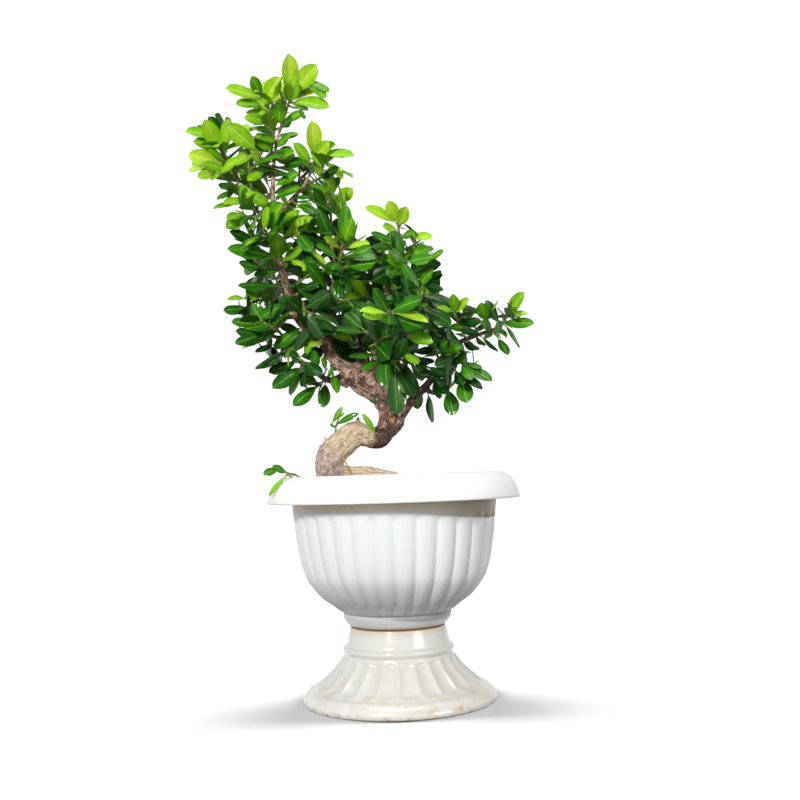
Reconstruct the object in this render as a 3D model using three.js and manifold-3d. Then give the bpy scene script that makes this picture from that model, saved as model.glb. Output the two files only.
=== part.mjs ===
// Ficus bonsai with an S-shaped trunk, in a white two-piece pedestal urn.
// Millimetres, +Z up, the floor at z = 0. Every route is set out from the pot's axis,
// and the finished group is moved so that the middle of its box stands on the origin.
import * as THREE from 'three';
import Module from 'manifold-3d';

const wasm = await Module();
wasm.setup();
const { Manifold, Mesh } = wasm;

// Driving dimensions of the pot
const POT_HEIGHT = 283;
const RIM_RADIUS = 160;
const RIM_DROP = 33;
const BOWL_RADIUS = 130;
const FOOT_RADIUS = 122;
const JOINT_HEIGHT = 93.5;
const NECK_RADIUS = 60;
const BOWL_FLUTES = 30;
const FOOT_FLUTES = 24;
const SOIL_HEIGHT = 280;
const WALL = 3;
const WELL_HEIGHT = 102;

// Inside of the bowl from the rim down to the middle of its floor: radius and height
const BOWL_INSIDE = [
  [BOWL_RADIUS - 6, POT_HEIGHT - 4], [119, 200], [98, 145],
  [60, WELL_HEIGHT + 1], [0, WELL_HEIGHT],
];

// Driving dimensions of the plant
const LEAF_LENGTH = 46;
const LEAF_WIDTH = 21;
const LEAF_DEPTH = 1.5;
const STEM_RADIUS = 1.8;

// Fits
const GAP = 0.3;
const CLEARANCE = 0.45;
const TRIES = 18;
const GOLDEN_ANGLE = THREE.MathUtils.degToRad(137.5);
const BARE_STEM = 0.15;

// Wood routes: each point is x, y, z and the radius there. A branch starts inside the one before it.
const WOOD = {
  trunk: [
    [-78, 0, 240, 12], [-80, 0, 262, 15], [-81, 0, 280, 18], [-82, -1, 305, 18.5],
    [-73, -3, 321, 17.5], [-60, -4, 332, 17], [-47, -4, 338, 16.5], [-33, -2, 335, 13],
    [-17, 2, 331, 14.5], [-5, 5, 343, 13.5], [-4, 4, 363, 12.5], [-9, 2, 380, 14.5],
    [-21, 0, 394, 19], [-36, -3, 407, 19], [-51, -4, 417, 12],
  ],
  leader: [
    [-46, -4, 413, 11], [-70, -8, 431, 7.5], [-84, -14, 453, 7], [-103, -16, 470, 6.5],
    [-117, -16, 489, 6], [-124, -14, 509, 5.8], [-132, -10, 536, 5.4], [-139, -6, 563, 4.8],
    [-143, -2, 597, 4.2], [-146, 2, 638, 3.6], [-145, 4, 678, 3], [-142, 4, 709, 2.4],
    [-136, 2, 734, 2],
  ],
  leftTop: [[-146, 0, 610, 3], [-169, -4, 633, 2.8], [-192, -8, 670, 2]],
  rightTop: [[-144, 0, 616, 3], [-122, -2, 643, 2.6], [-106, -4, 658, 2.4], [-96, -5, 676, 2]],
  middle: [
    [-70, -8, 430, 6], [-78, -10, 459, 4.8], [-76, -8, 483, 4.2], [-76, -6, 509, 3.6],
    [-70, -8, 531, 3.2], [-63, -10, 552, 2.8], [-58, -10, 573, 2.4], [-57, -8, 597, 2],
  ],
  middleFork: [[-71, -7, 528, 2.8], [-68, 0, 559, 2.4], [-72, 4, 589, 2.2], [-71, 4, 622, 2]],
  right: [
    [-27, 3, 400, 13], [-17, 6, 423, 9], [-16, 8, 444, 7.5], [-14, 10, 464, 6],
    [-7, 12, 490, 4.8], [-3, 12, 514, 4.2], [5, 10, 542, 3.2], [13, 8, 564, 2.6], [18, 6, 587, 2],
  ],
  arm: [
    [-6, 4, 333, 11], [7, 6, 343, 9], [14, 6, 359, 7], [22, 5, 371, 6], [30, 3, 381, 5.4],
    [43, 0, 392, 5], [60, -4, 412, 4.4], [74, -4, 433, 3.8], [89, 0, 449, 3.4], [111, 4, 458, 3],
    [134, 4, 465, 2.4], [146, 3, 473, 2],
  ],
  armLow: [[42, 0, 391, 4], [59, -3, 385, 3], [76, -6, 393, 2.6], [88, -9, 404, 2]],
  leftLow: [[-50, -5, 412, 8], [-77, -12, 405, 4.4], [-99, -16, 419, 3.2], [-120, -18, 432, 2.2]],
  leftMiddle: [[-101, -16, 468, 5], [-123, -20, 462, 3.4], [-146, -22, 462, 2.6], [-161, -21, 477, 2]],
  front: [[-15, -2, 400, 8], [-10, -34, 432, 4.6], [-2, -60, 454, 3.2], [3, -78, 469, 2]],
  back: [[-31, 4, 410, 10], [-39, 42, 452, 4.8], [-34, 70, 496, 3.4], [-24, 86, 528, 2]],
  backLeft: [[-88, -12, 457, 5.5], [-111, 26, 483, 4], [-132, 56, 513, 2.8], [-145, 74, 540, 2]],
  backRight: [[8, 5, 346, 8], [16, 22, 412, 4.6], [34, 40, 464, 3.2], [52, 60, 492, 2]],
  frontLeft: [[-108, -16, 476, 5], [-111, -42, 488, 3], [-104, -60, 498, 2]],
  frontRight: [[-8, 11, 486, 4.4], [12, -22, 495, 3], [28, -46, 499, 2]],
  rootRight: [
    [-75, -4, 292, 9], [-55, -8, 287, 8.5], [-32, -12, 286, 8.5], [-12, -16, 282, 6.5], [5, -20, 277, 3.5],
  ],
  rootLeft: [[-86, 2, 292, 10], [-107, 10, 284, 7], [-119, 18, 275, 3]],
  rootBack: [[-79, 8, 290, 10], [-73, 38, 284, 7], [-60, 58, 275, 3]],
  rootFront: [[-84, -6, 288, 8], [-93, -24, 282, 5], [-100, -36, 278, 3.5]],
  aerialRoot: [[-68, -9, 312, 3], [-59, -16, 299, 1.8], [-54, -18, 288, 1.8]],
};

// Shoots: name, branch, place along the branch (point number and fraction), tip, leaves, leaf size
const SHOOTS = [
  ['top', 'leader', 12, [-115, 0, 795], 9, 1.2],
  ['top_left', 'leader', 11.3, [-156, -12, 776], 9, 1.05],
  ['top_back', 'leader', 10.5, [-154, 34, 738], 6, 1.0],
  ['crest_left', 'leftTop', 2, [-221, -10, 731], 9, 1.1],
  ['crest_low', 'leftTop', 1.6, [-225, -24, 685], 8, 1.05],
  ['crest_front', 'leftTop', 1.1, [-175, -30, 718], 8, 1.05],
  ['crest_back', 'leftTop', 1.3, [-198, 34, 709], 6, 1.0],
  ['fork_tip', 'rightTop', 3, [-85, -6, 712], 9, 1.1],
  ['fork_right', 'rightTop', 2.2, [-62, -12, 678], 8, 1.05],
  ['fork_back', 'rightTop', 1.6, [-113, 36, 700], 6, 1.0],
  ['upper_back', 'leader', 9, [-155, 50, 671], 6, 1.05],
  ['upper_left', 'leader', 8.25, [-186, -20, 624], 8, 1.05],
  ['mid_left', 'leader', 7.6, [-193, 6, 594], 8, 1.05],
  ['mid_front', 'leader', 7.9, [-156, -42, 592], 7, 1.1],
  ['mid_right', 'leader', 7.7, [-105, -28, 599], 7, 1.0],
  ['mid_low_left', 'leader', 6.6, [-175, -12, 550], 8, 1.05],
  ['low_left', 'leader', 5.3, [-167, -6, 512], 8, 1.05],
  ['low_right', 'leader', 5.5, [-100, -30, 538], 7, 1.0],
  ['side_tip', 'leftMiddle', 3, [-183, -18, 485], 9, 1.05],
  ['side_low', 'leftMiddle', 2.2, [-180, -26, 450], 8, 1.05],
  ['side_front', 'leftMiddle', 1.5, [-141, -52, 472], 7, 1.1],
  ['side_under', 'leftMiddle', 1.2, [-126, -46, 426], 7, 1.1],
  ['under_tip', 'leftLow', 3, [-142, -18, 417], 8, 1.05],
  ['under_hang', 'leftLow', 1.2, [-95, -18, 395], 5, 1.0],
  ['front_left', 'frontLeft', 2, [-101, -88, 479], 8, 1.1],
  ['middle_tip', 'middle', 7, [-55, -8, 623], 9, 1.05],
  ['middle_fork', 'middleFork', 3, [-80, 18, 652], 9, 1.0],
  ['middle_right', 'middle', 6, [-31, -18, 586], 7, 1.05],
  ['middle_front', 'middle', 4.3, [-58, -44, 556], 8, 1.1],
  ['middle_back', 'middleFork', 1.4, [-92, 46, 600], 7, 1.05],
  ['middle_low', 'middle', 3, [-50, -46, 502], 8, 1.1],
  ['low_back', 'middle', 2.2, [-95, 56, 496], 7, 1.1],
  ['right_tip', 'right', 8, [15, 4, 619], 8, 1.05],
  ['right_side', 'right', 7.3, [41, 2, 583], 7, 1.0],
  ['right_front', 'right', 6.4, [25, -34, 550], 8, 1.1],
  ['right_out', 'right', 5.8, [54, 10, 539], 8, 1.05],
  ['right_back', 'right', 6.2, [-4, 52, 585], 7, 1.05],
  ['right_low', 'right', 4.9, [58, 18, 509], 8, 1.05],
  ['right_low_back', 'right', 4.4, [8, 64, 515], 7, 1.1],
  ['front_right', 'frontRight', 2, [40, -76, 486], 8, 1.1],
  ['front_tip', 'front', 3, [2, -100, 477], 8, 1.1],
  ['front_mid', 'front', 2, [-20, -92, 438], 7, 1.1],
  ['front_low', 'front', 1.3, [10, -70, 412], 7, 1.1],
  ['back_low', 'back', 1.6, [-55, 98, 462], 7, 1.1],
  ['arm_tip', 'arm', 11, [155, 2, 484], 7, 1.0],
  ['arm_up', 'arm', 9.8, [123, -8, 492], 7, 0.95],
  ['arm_mid', 'arm', 8.5, [84, -8, 488], 8, 1.05],
  ['arm_under', 'arm', 7.6, [99, -26, 434], 7, 1.05],
  ['arm_front', 'arm', 6.4, [58, -46, 435], 8, 1.1],
  ['low_tip', 'armLow', 3, [102, -12, 415], 7, 1.05],
  ['low_mid', 'armLow', 2, [75, -30, 389], 6, 1.0],
  ['back_tip', 'back', 3, [-17, 112, 555], 7, 1.1],
  ['back_left', 'backLeft', 3, [-158, 98, 563], 7, 1.1],
  ['back_right', 'backRight', 3, [57, 88, 515], 7, 1.1],
  ['knuckle', 'trunk', 4.6, [-74, -14, 368], 4, 0.7],
  ['over_rim', 'rootFront', 2, [-138, -94, 306], 4, 0.75],
];

// Shared maths: an even number from 0 to 1 for a pair of whole numbers, the same on every run
function chance(a, b) {
  const value = Math.sin(a * 12.9898 + b * 78.233) * 43758.5453;
  return value - Math.floor(value);
}

// A point part of the way along a route, as a vector
function pointOn(route, place) {
  const index = Math.min(Math.floor(place), route.length - 2);
  const from = new THREE.Vector3(...route[index]);
  const to = new THREE.Vector3(...route[index + 1]);
  return from.lerp(to, place - index);
}

function radiusOn(route, place) {
  const index = Math.min(Math.floor(place), route.length - 2);
  return THREE.MathUtils.lerp(route[index][3], route[index + 1][3], place - index);
}

// Triangles between two rings of point numbers. A ring of one point is a tip.
function band(lower, upper) {
  const faces = [];
  for (let k = 0; k < Math.max(lower.length, upper.length); k++) {
    const a0 = lower[k % lower.length];
    const a1 = lower[(k + 1) % lower.length];
    const b0 = upper[k % upper.length];
    const b1 = upper[(k + 1) % upper.length];
    faces.push([a0, a1, b1], [a0, b1, b0]);
  }
  return faces;
}

function cap(ring) {
  return ring.slice(1, -1).map((corner, k) => [ring[0], corner, ring[k + 2]]);
}

// A closed solid through rings of points that turn left about their line of advance. A point that
// stands twice in a ring closes the face between, and a looped solid joins its last ring to its first.
function loft(rings, looped = false) {
  const points = [...new Set(rings.flat())];
  const numbered = rings.map((ring) => ring.map((point) => points.indexOf(point)));
  const faces = numbered.slice(1).flatMap((ring, i) => band(numbered[i], ring));
  const last = numbered[numbered.length - 1];
  if (looped) faces.push(...band(last, numbered[0]));
  else faces.push(...cap([...numbered[0]].reverse()), ...cap(last));
  const real = faces.filter(([a, b, c]) => a !== b && b !== c && c !== a);
  const vertProperties = Float32Array.from(points.flatMap((point) => point.toArray()));
  return new Manifold(new Mesh({ numProp: 3, vertProperties, triVerts: Uint32Array.from(real.flat()) }));
}

// A turned solid: each profile point is radius, height and how deep the flutes cut there
function turned(profile, sides, flutes, looped = false) {
  const rings = profile.map(([radius, height, cut = 0]) => {
    if (radius === 0) return [new THREE.Vector3(0, 0, height)];
    return Array.from({ length: sides }, (_, k) => {
      const angle = (2 * Math.PI * k) / sides;
      const groove = flutes ? 0.5 - 0.5 * Math.cos(angle * flutes) : 0;
      const reach = radius - cut * groove;
      return new THREE.Vector3(reach * Math.cos(angle), reach * Math.sin(angle), height);
    });
  });
  return loft(rings, looped);
}

// Two directions square to a line, which turn smoothly along a route
function squareTo(direction, hint) {
  const across = hint.clone().addScaledVector(direction, -hint.dot(direction)).normalize();
  return [across, new THREE.Vector3().crossVectors(direction, across)];
}

// Rings of a round bar along a route, grown by a margin
function barRings(route, sides, margin = 0) {
  const centres = route.map((point) => new THREE.Vector3(...point));
  let hint = new THREE.Vector3(0.31, 0.95, 0.05);
  return centres.map((centre, i) => {
    const before = centres[Math.max(i - 1, 0)];
    const after = centres[Math.min(i + 1, centres.length - 1)];
    const direction = after.clone().sub(before).normalize();
    const [across, up] = squareTo(direction, hint);
    hint = across;
    const radius = route[i][3] + margin;
    return Array.from({ length: sides }, (_, k) => {
      const angle = (2 * Math.PI * k) / sides;
      return centre.clone()
        .addScaledVector(across, radius * Math.cos(angle))
        .addScaledVector(up, radius * Math.sin(angle));
    });
  });
}

function bar(route, sides, margin = 0) {
  return loft(barRings(route, sides, margin));
}

function join(solids) {
  return solids.reduce((sum, solid) => sum.add(solid));
}

// Pot: profile points are radius, height and flute depth
function bowl() {
  const spigot = NECK_RADIUS - 6.5;
  return turned([
    [0, WELL_HEIGHT - WALL], [spigot - WALL, WELL_HEIGHT - WALL], [spigot - WALL, JOINT_HEIGHT - 8],
    [spigot, JOINT_HEIGHT - 8], [spigot, JOINT_HEIGHT + GAP], [NECK_RADIUS, JOINT_HEIGHT + GAP],
    [68, 112.5], [79, 120, 3], [95, 132, 4], [111, 151.5, 4.5], [121, 180, 4.5],
    [128, 225, 3.5], [BOWL_RADIUS - 0.5, 238], [BOWL_RADIUS, POT_HEIGHT - 19],
    [RIM_RADIUS - 9, POT_HEIGHT - 17], [RIM_RADIUS - 4.5, POT_HEIGHT - RIM_DROP],
    [RIM_RADIUS, POT_HEIGHT - RIM_DROP], [RIM_RADIUS - 2.5, POT_HEIGHT - 20],
    [RIM_RADIUS - 10, POT_HEIGHT - 7], [RIM_RADIUS - 22, POT_HEIGHT], ...BOWL_INSIDE,
  ], 2 * BOWL_FLUTES, BOWL_FLUTES);
}

function foot() {
  const bore = NECK_RADIUS - 6.5 + GAP;
  return turned([
    [bore, JOINT_HEIGHT], [bore, 84], [64, 64], [78, 38], [100, 17], [FOOT_RADIUS - 4.5, 0],
    [FOOT_RADIUS, 0], [FOOT_RADIUS - 1, 5], [112, 15], [102, 23.5, 3], [88, 36, 3], [77, 48.5, 2.5],
    [70.5, 60], [69.5, 68], [66.5, 73.5], [61.5, 86], [NECK_RADIUS, JOINT_HEIGHT],
  ], 2 * FOOT_FLUTES, FOOT_FLUTES, true);
}

// The soil fills the bowl a little clear of its wall, and the roots stand in plain sockets in it
function soil(sockets) {
  const wall = BOWL_INSIDE.slice(0, -1).reverse();
  const fill = wall.map(([radius, height]) => [radius - 2 * GAP, Math.min(height + GAP, SOIL_HEIGHT - 7)]);
  const top = [[75, SOIL_HEIGHT - 1], [0, SOIL_HEIGHT + 1]];
  return turned([[0, WELL_HEIGHT + GAP], ...fill, ...top], 24).subtract(sockets);
}

// A shoot's stem starts inside its branch and bends up a little on the way to its tip
function stemAt([, branch, place, end], part) {
  const start = pointOn(WOOD[branch], place);
  const tip = new THREE.Vector3(...end);
  const bend = start.clone().lerp(tip, 0.5);
  bend.z -= 0.05 * start.distanceTo(tip);
  return new THREE.QuadraticBezierCurve3(start, bend, tip).getPoint(part);
}

// The lowest leaf stands clear of the bark
function bareOf(shoot) {
  const [, branch, place] = shoot;
  const length = stemAt(shoot, 0).distanceTo(stemAt(shoot, 1));
  return Math.max(BARE_STEM, (radiusOn(WOOD[branch], place) + 5) / length);
}

function stem(shoot, margin = 0) {
  const route = [0, 0.55, 1].map((part) => {
    return [...stemAt(shoot, part).toArray(), STEM_RADIUS * (1 - 0.3 * part) + margin];
  });
  return bar(route, 3);
}

// Leaves turn round the stem by the golden angle: the low ones spread, the last ones stand up.
// A crowded leaf tries the next of several turns and tilts.
function leafFrame(shoot, number, order, attempt) {
  const [, , , , count, size] = shoot;
  const part = order / (count - 1);
  const bare = bareOf(shoot);
  const along = bare + (0.97 - bare) * Math.pow(part, 0.8);
  const root = stemAt(shoot, along);
  const axis = stemAt(shoot, along).sub(stemAt(shoot, along - 0.1)).normalize();
  const [across, up] = squareTo(axis, new THREE.Vector3(0.2, -0.3, 0.9));
  const side = attempt % 2 ? 1 : -1;
  const turn = GOLDEN_ANGLE * order + 6.28 * chance(number, 1) + side * 0.2 * Math.ceil(attempt / 2);
  const lift = 0.3 + 0.8 * part * part + 0.4 * (chance(number, order + 10) - 0.5) + 0.05 * side * attempt;
  const out = across.multiplyScalar(Math.cos(turn)).addScaledVector(up, Math.sin(turn));
  const way = out.multiplyScalar(Math.cos(lift)).addScaledVector(axis, Math.sin(lift)).normalize();
  const face = axis.clone().addScaledVector(new THREE.Vector3(0, 0, 1), 0.35);
  const [normal] = squareTo(way, face);
  const grown = 0.82 + 0.18 * Math.sin(Math.PI * Math.min(part + 0.25, 1));
  const length = LEAF_LENGTH * size * grown * (0.88 + 0.24 * chance(number, order + 40));
  return { root, way, normal, length };
}

// Blade sections: fraction of the length, half width and depth over the full ones.
// A blade is flat on top, with its midrib as a keel below. Its stalk starts as a point inside the stem.
const BLADE = [[0.34, 0.38, 1], [0.72, 0.46, 0.8]];
const STALK = [0.07, 0.08, 0.3];
const DROOP = 0.16;

function bladeRings({ root, way, normal, length }, sections, margin) {
  const side = new THREE.Vector3().crossVectors(way, normal);
  const width = (length * LEAF_WIDTH) / LEAF_LENGTH;
  const rings = sections.map(([part, wide, deep]) => {
    const sag = DROOP * length * part * part;
    const centre = root.clone().addScaledVector(way, length * part).addScaledVector(normal, -sag);
    const half = width * wide + 2 * margin;
    return [
      centre.clone().addScaledVector(side, -half).addScaledVector(normal, margin),
      centre.clone().addScaledVector(side, half).addScaledVector(normal, margin),
      centre.clone().addScaledVector(normal, -LEAF_DEPTH * deep - margin),
    ];
  });
  const tip = root.clone().addScaledVector(way, length + margin).addScaledVector(normal, -DROOP * length);
  return [...rings, [tip]];
}

function leaf(frame) {
  return loft([[frame.root], ...bladeRings(frame, BLADE, 0)]);
}

// A leaf from a little way out of its stem, with some room round it
function leafRoom(frame, margin) {
  return loft(bladeRings(frame, [STALK, ...BLADE], margin));
}

// Everything placed so far, so that no later leaf crosses it
const placed = [];

function place(solid) {
  const { min, max } = solid.boundingBox();
  placed.push({ solid, min, max });
}

function crowded(solid) {
  const { min, max } = solid.boundingBox();
  return placed.some((other) => {
    const apart = [0, 1, 2].some((axis) => other.min[axis] > max[axis] || other.max[axis] < min[axis]);
    if (apart) return false;
    const shared = solid.intersect(other.solid);
    const hit = !shared.isEmpty();
    shared.delete();
    return hit;
  });
}

// A shoot is its stem, joined with every leaf that finds room
function grow(shoot, number) {
  const parts = [stem(shoot)];
  for (let order = shoot[4] - 1; order >= 0; order--) {
    for (let attempt = 0; attempt < TRIES; attempt++) {
      const frame = leafFrame(shoot, number, order, attempt);
      const room = leafRoom(frame, CLEARANCE);
      const hit = crowded(room);
      room.delete();
      if (hit) continue;
      parts.push(leaf(frame));
      place(leafRoom(frame, 0));
      break;
    }
  }
  return join(parts);
}

// Solid to a named mesh of one colour
function toMesh(name, solid, color, roughness) {
  const { vertProperties, triVerts } = solid.getMesh();
  const geometry = new THREE.BufferGeometry();
  geometry.setAttribute('position', new THREE.BufferAttribute(vertProperties, 3));
  geometry.setIndex(new THREE.BufferAttribute(triVerts, 1));
  geometry.computeVertexNormals();
  const mesh = new THREE.Mesh(geometry, new THREE.MeshStandardMaterial({ color, roughness, metalness: 0 }));
  mesh.name = name;
  return mesh;
}

const sidesOf = (name) => (name === 'trunk' ? 8 : 5);
const routes = Object.entries(WOOD);
const bars = routes.map(([name, route]) => bar(route, sidesOf(name)));
const wood = join(bars);
const bark = join(routes.map(([name, route]) => bar(route, sidesOf(name), 1.3 * GAP)));
const potBowl = bowl();
const potFoot = foot();

bars.forEach((solid) => place(solid));
place(potBowl);
SHOOTS.forEach((shoot) => place(stem(shoot, GAP)));

const plant = new THREE.Group();
plant.add(toMesh('pot_bowl', potBowl, 0xf4f4f2, 0.35));
plant.add(toMesh('pot_foot', potFoot, 0xf3f1e8, 0.3));
plant.add(toMesh('soil', soil(bark), 0x3b2b20, 0.95));
plant.add(toMesh('trunk', wood, 0x8a7660, 0.85));
SHOOTS.forEach((shoot, number) => {
  plant.add(toMesh(`shoot_${shoot[0]}`, grow(shoot, number).subtract(bark), 0x3f8f24, 0.4));
});

// The middle of the whole box stands on the origin
const box = new THREE.Box3().setFromObject(plant);
const middle = box.getCenter(new THREE.Vector3());
plant.position.set(-middle.x, -middle.y, -box.min.z);

export default plant;
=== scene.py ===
import math

import bpy
import numpy as np
from mathutils import Matrix, Vector, noise
from mathutils.bvhtree import BVHTree
from mathutils.kdtree import KDTree


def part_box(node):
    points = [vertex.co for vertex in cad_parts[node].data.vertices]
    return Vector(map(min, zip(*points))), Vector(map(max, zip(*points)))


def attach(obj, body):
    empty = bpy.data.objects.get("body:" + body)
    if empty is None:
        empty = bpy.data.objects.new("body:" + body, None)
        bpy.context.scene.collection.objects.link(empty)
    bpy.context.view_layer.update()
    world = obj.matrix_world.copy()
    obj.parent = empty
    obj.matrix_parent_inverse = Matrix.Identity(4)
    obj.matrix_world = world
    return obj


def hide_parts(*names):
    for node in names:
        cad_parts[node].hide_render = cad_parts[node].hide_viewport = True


# Ficus bonsai with an S-shaped trunk, in a white two-piece pedestal urn.
# Shapes are set out in millimetres about the pot's axis, with the floor at z = 0,
# and to_object() moves them into the frame.
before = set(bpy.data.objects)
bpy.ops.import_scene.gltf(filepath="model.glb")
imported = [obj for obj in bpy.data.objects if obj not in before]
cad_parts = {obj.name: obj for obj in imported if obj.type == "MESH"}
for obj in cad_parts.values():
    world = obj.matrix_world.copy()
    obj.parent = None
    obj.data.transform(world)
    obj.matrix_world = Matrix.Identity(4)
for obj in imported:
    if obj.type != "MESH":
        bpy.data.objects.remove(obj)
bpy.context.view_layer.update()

MM = 0.001
foot_low, foot_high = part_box("pot_foot")
POT_AXIS = np.array([(foot_low.x + foot_high.x) / 2, (foot_low.y + foot_high.y) / 2, 0.0])

# Driving dimensions of the pot
POT_HEIGHT = 283
RIM_RADIUS = 160
RIM_DROP = 33
BOWL_RADIUS = 130
FOOT_RADIUS = 122
JOINT_HEIGHT = 93.5
NECK_RADIUS = 60
NECK_WALL = 6.5
BOWL_FLUTES = 30
FOOT_FLUTES = 24
SOIL_HEIGHT = 280
WALL = 3
WELL_HEIGHT = 102
# Space left between pieces that touch
GAP = 0.3

# Driving dimensions of the plant: the leaf of size 1, the stems, and the part of a stem that is bare
LEAF_LENGTH = 46
LEAF_WIDTH = 21
STEM_RADIUS = 1.8
BARE_STEM = 0.15
# Fall of a leaf's tip as a part of its length
DROOP = 0.16
GOLDEN_ANGLE = math.radians(137.5)
# The full turn that the solids' source reckons with
TURN = 6.28
# Turns that the solids' source tries for a leaf
TRIES = 18
# Directions that the sides of a tube, and the turns round a stem, are reckoned from
TUBE_HINT = np.array([0.31, 0.95, 0.05])
STEM_HINT = np.array([0.2, -0.3, 0.9])

# Camera
CAMERA_PLACE = np.array([11.54, -1346.73, 282.68])
CAMERA_PITCH = math.radians(4.0313)
CAMERA_ROLL = math.radians(1.8)
CAMERA_LENS = 47.25
SENSOR = 36

# Wood routes: each point is x, y, z and the radius there
WOOD = {
    "trunk": [
        [-78, 0, 240, 12], [-79, 0, 262, 14], [-79, 0, 280, 16], [-81, -1, 303, 18], [-71, -3, 318, 17.5],
        [-58, -4, 329, 17], [-46, -4, 335.5, 16.5], [-33, -2, 334, 13.5], [-18, 2, 330.5, 14],
        [-7, 5, 343, 13], [-5, 4, 363, 12.8], [-10, 2, 380, 14], [-21, 0, 395, 18.5], [-36, -3, 407, 19],
        [-51, -4, 417, 12],
    ],
    "leader": [
        [-46, -4, 413, 11], [-70, -8, 431, 7.5], [-84, -14, 453, 7], [-103, -16, 470, 6.5],
        [-117, -16, 489, 6], [-124, -14, 509, 5.8], [-132, -10, 536, 5.4], [-139, -6, 563, 4.8],
        [-143, -2, 597, 4.2], [-146, 2, 638, 3.6], [-145, 4, 678, 3], [-142, 4, 709, 2.4],
        [-136, 2, 734, 2],
    ],
    "leftTop": [[-146, 0, 610, 3], [-169, -4, 633, 2.8], [-192, -8, 670, 2]],
    "rightTop": [[-144, 0, 616, 3], [-122, -2, 643, 2.6], [-106, -4, 658, 2.4], [-96, -5, 676, 2]],
    "middle": [
        [-70, -8, 430, 6], [-78, -10, 459, 4.8], [-76, -8, 483, 4.2], [-76, -6, 509, 3.6],
        [-70, -8, 531, 3.2], [-63, -10, 552, 2.8], [-58, -10, 573, 2.4], [-57, -8, 597, 2],
    ],
    "middleFork": [[-71, -7, 528, 2.8], [-68, 0, 559, 2.4], [-72, 4, 589, 2.2], [-71, 4, 622, 2]],
    "right": [
        [-27, 3, 400, 13], [-17, 6, 423, 9], [-16, 8, 444, 7.5], [-14, 10, 464, 6], [-7, 12, 490, 4.8],
        [-3, 12, 514, 4.2], [5, 10, 542, 3.2], [13, 8, 564, 2.6], [18, 6, 587, 2],
    ],
    "arm": [
        [-9, 4, 334, 10.5], [4, 6, 344, 8.5], [13, 6, 360, 7], [22, 5, 371, 6], [30, 3, 381, 5.4],
        [43, 0, 392, 5], [60, -4, 412, 4.4], [74, -4, 433, 3.8], [89, 0, 449, 3.4], [111, 4, 458, 3],
        [134, 4, 465, 2.4], [146, 3, 473, 2],
    ],
    "armLow": [[42, 0, 391, 4], [59, -3, 385, 3], [76, -6, 393, 2.6], [88, -9, 404, 2]],
    "leftLow": [[-50, -5, 412, 8], [-77, -12, 405, 4.4], [-99, -16, 419, 3.2], [-120, -18, 432, 2.2]],
    "leftMiddle": [
        [-101, -16, 468, 5], [-123, -20, 462, 3.4], [-146, -22, 462, 2.6], [-161, -21, 477, 2],
    ],
    "front": [[-15, -2, 400, 8], [-10, -34, 432, 4.6], [-2, -60, 454, 3.2], [3, -78, 469, 2]],
    "back": [[-31, 4, 410, 10], [-39, 42, 452, 4.8], [-34, 70, 496, 3.4], [-24, 86, 528, 2]],
    "backLeft": [[-88, -12, 457, 5.5], [-111, 26, 483, 4], [-132, 56, 513, 2.8], [-145, 74, 540, 2]],
    "backRight": [[8, 5, 346, 8], [16, 22, 412, 4.6], [34, 40, 464, 3.2], [52, 60, 492, 2]],
    "frontLeft": [[-108, -16, 476, 5], [-111, -42, 488, 3], [-104, -60, 498, 2]],
    "frontRight": [[-8, 11, 486, 4.4], [12, -22, 495, 3], [28, -46, 499, 2]],
    "rootRight": [
        [-75, -4, 291, 9], [-55, -8, 286, 8.5], [-32, -12, 285, 8.5], [-12, -16, 282.5, 6.5],
        [1, -18, 280.5, 5.5], [12, -20, 277.5, 4],
    ],
    "rootLeft": [[-84, 8, 286, 9], [-97, 24, 277, 6], [-105, 38, 272, 3]],
    "rootBack": [[-79, 8, 290, 10], [-73, 38, 284, 7], [-60, 58, 275, 3]],
    "rootFront": [[-84, -6, 288, 8], [-93, -24, 282, 5], [-100, -36, 278, 3.5]],
    "aerialRoot": [[-66, -9, 311, 2.6], [-60, -16, 300, 1.5], [-54, -18, 288, 1.5]],
}

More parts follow.
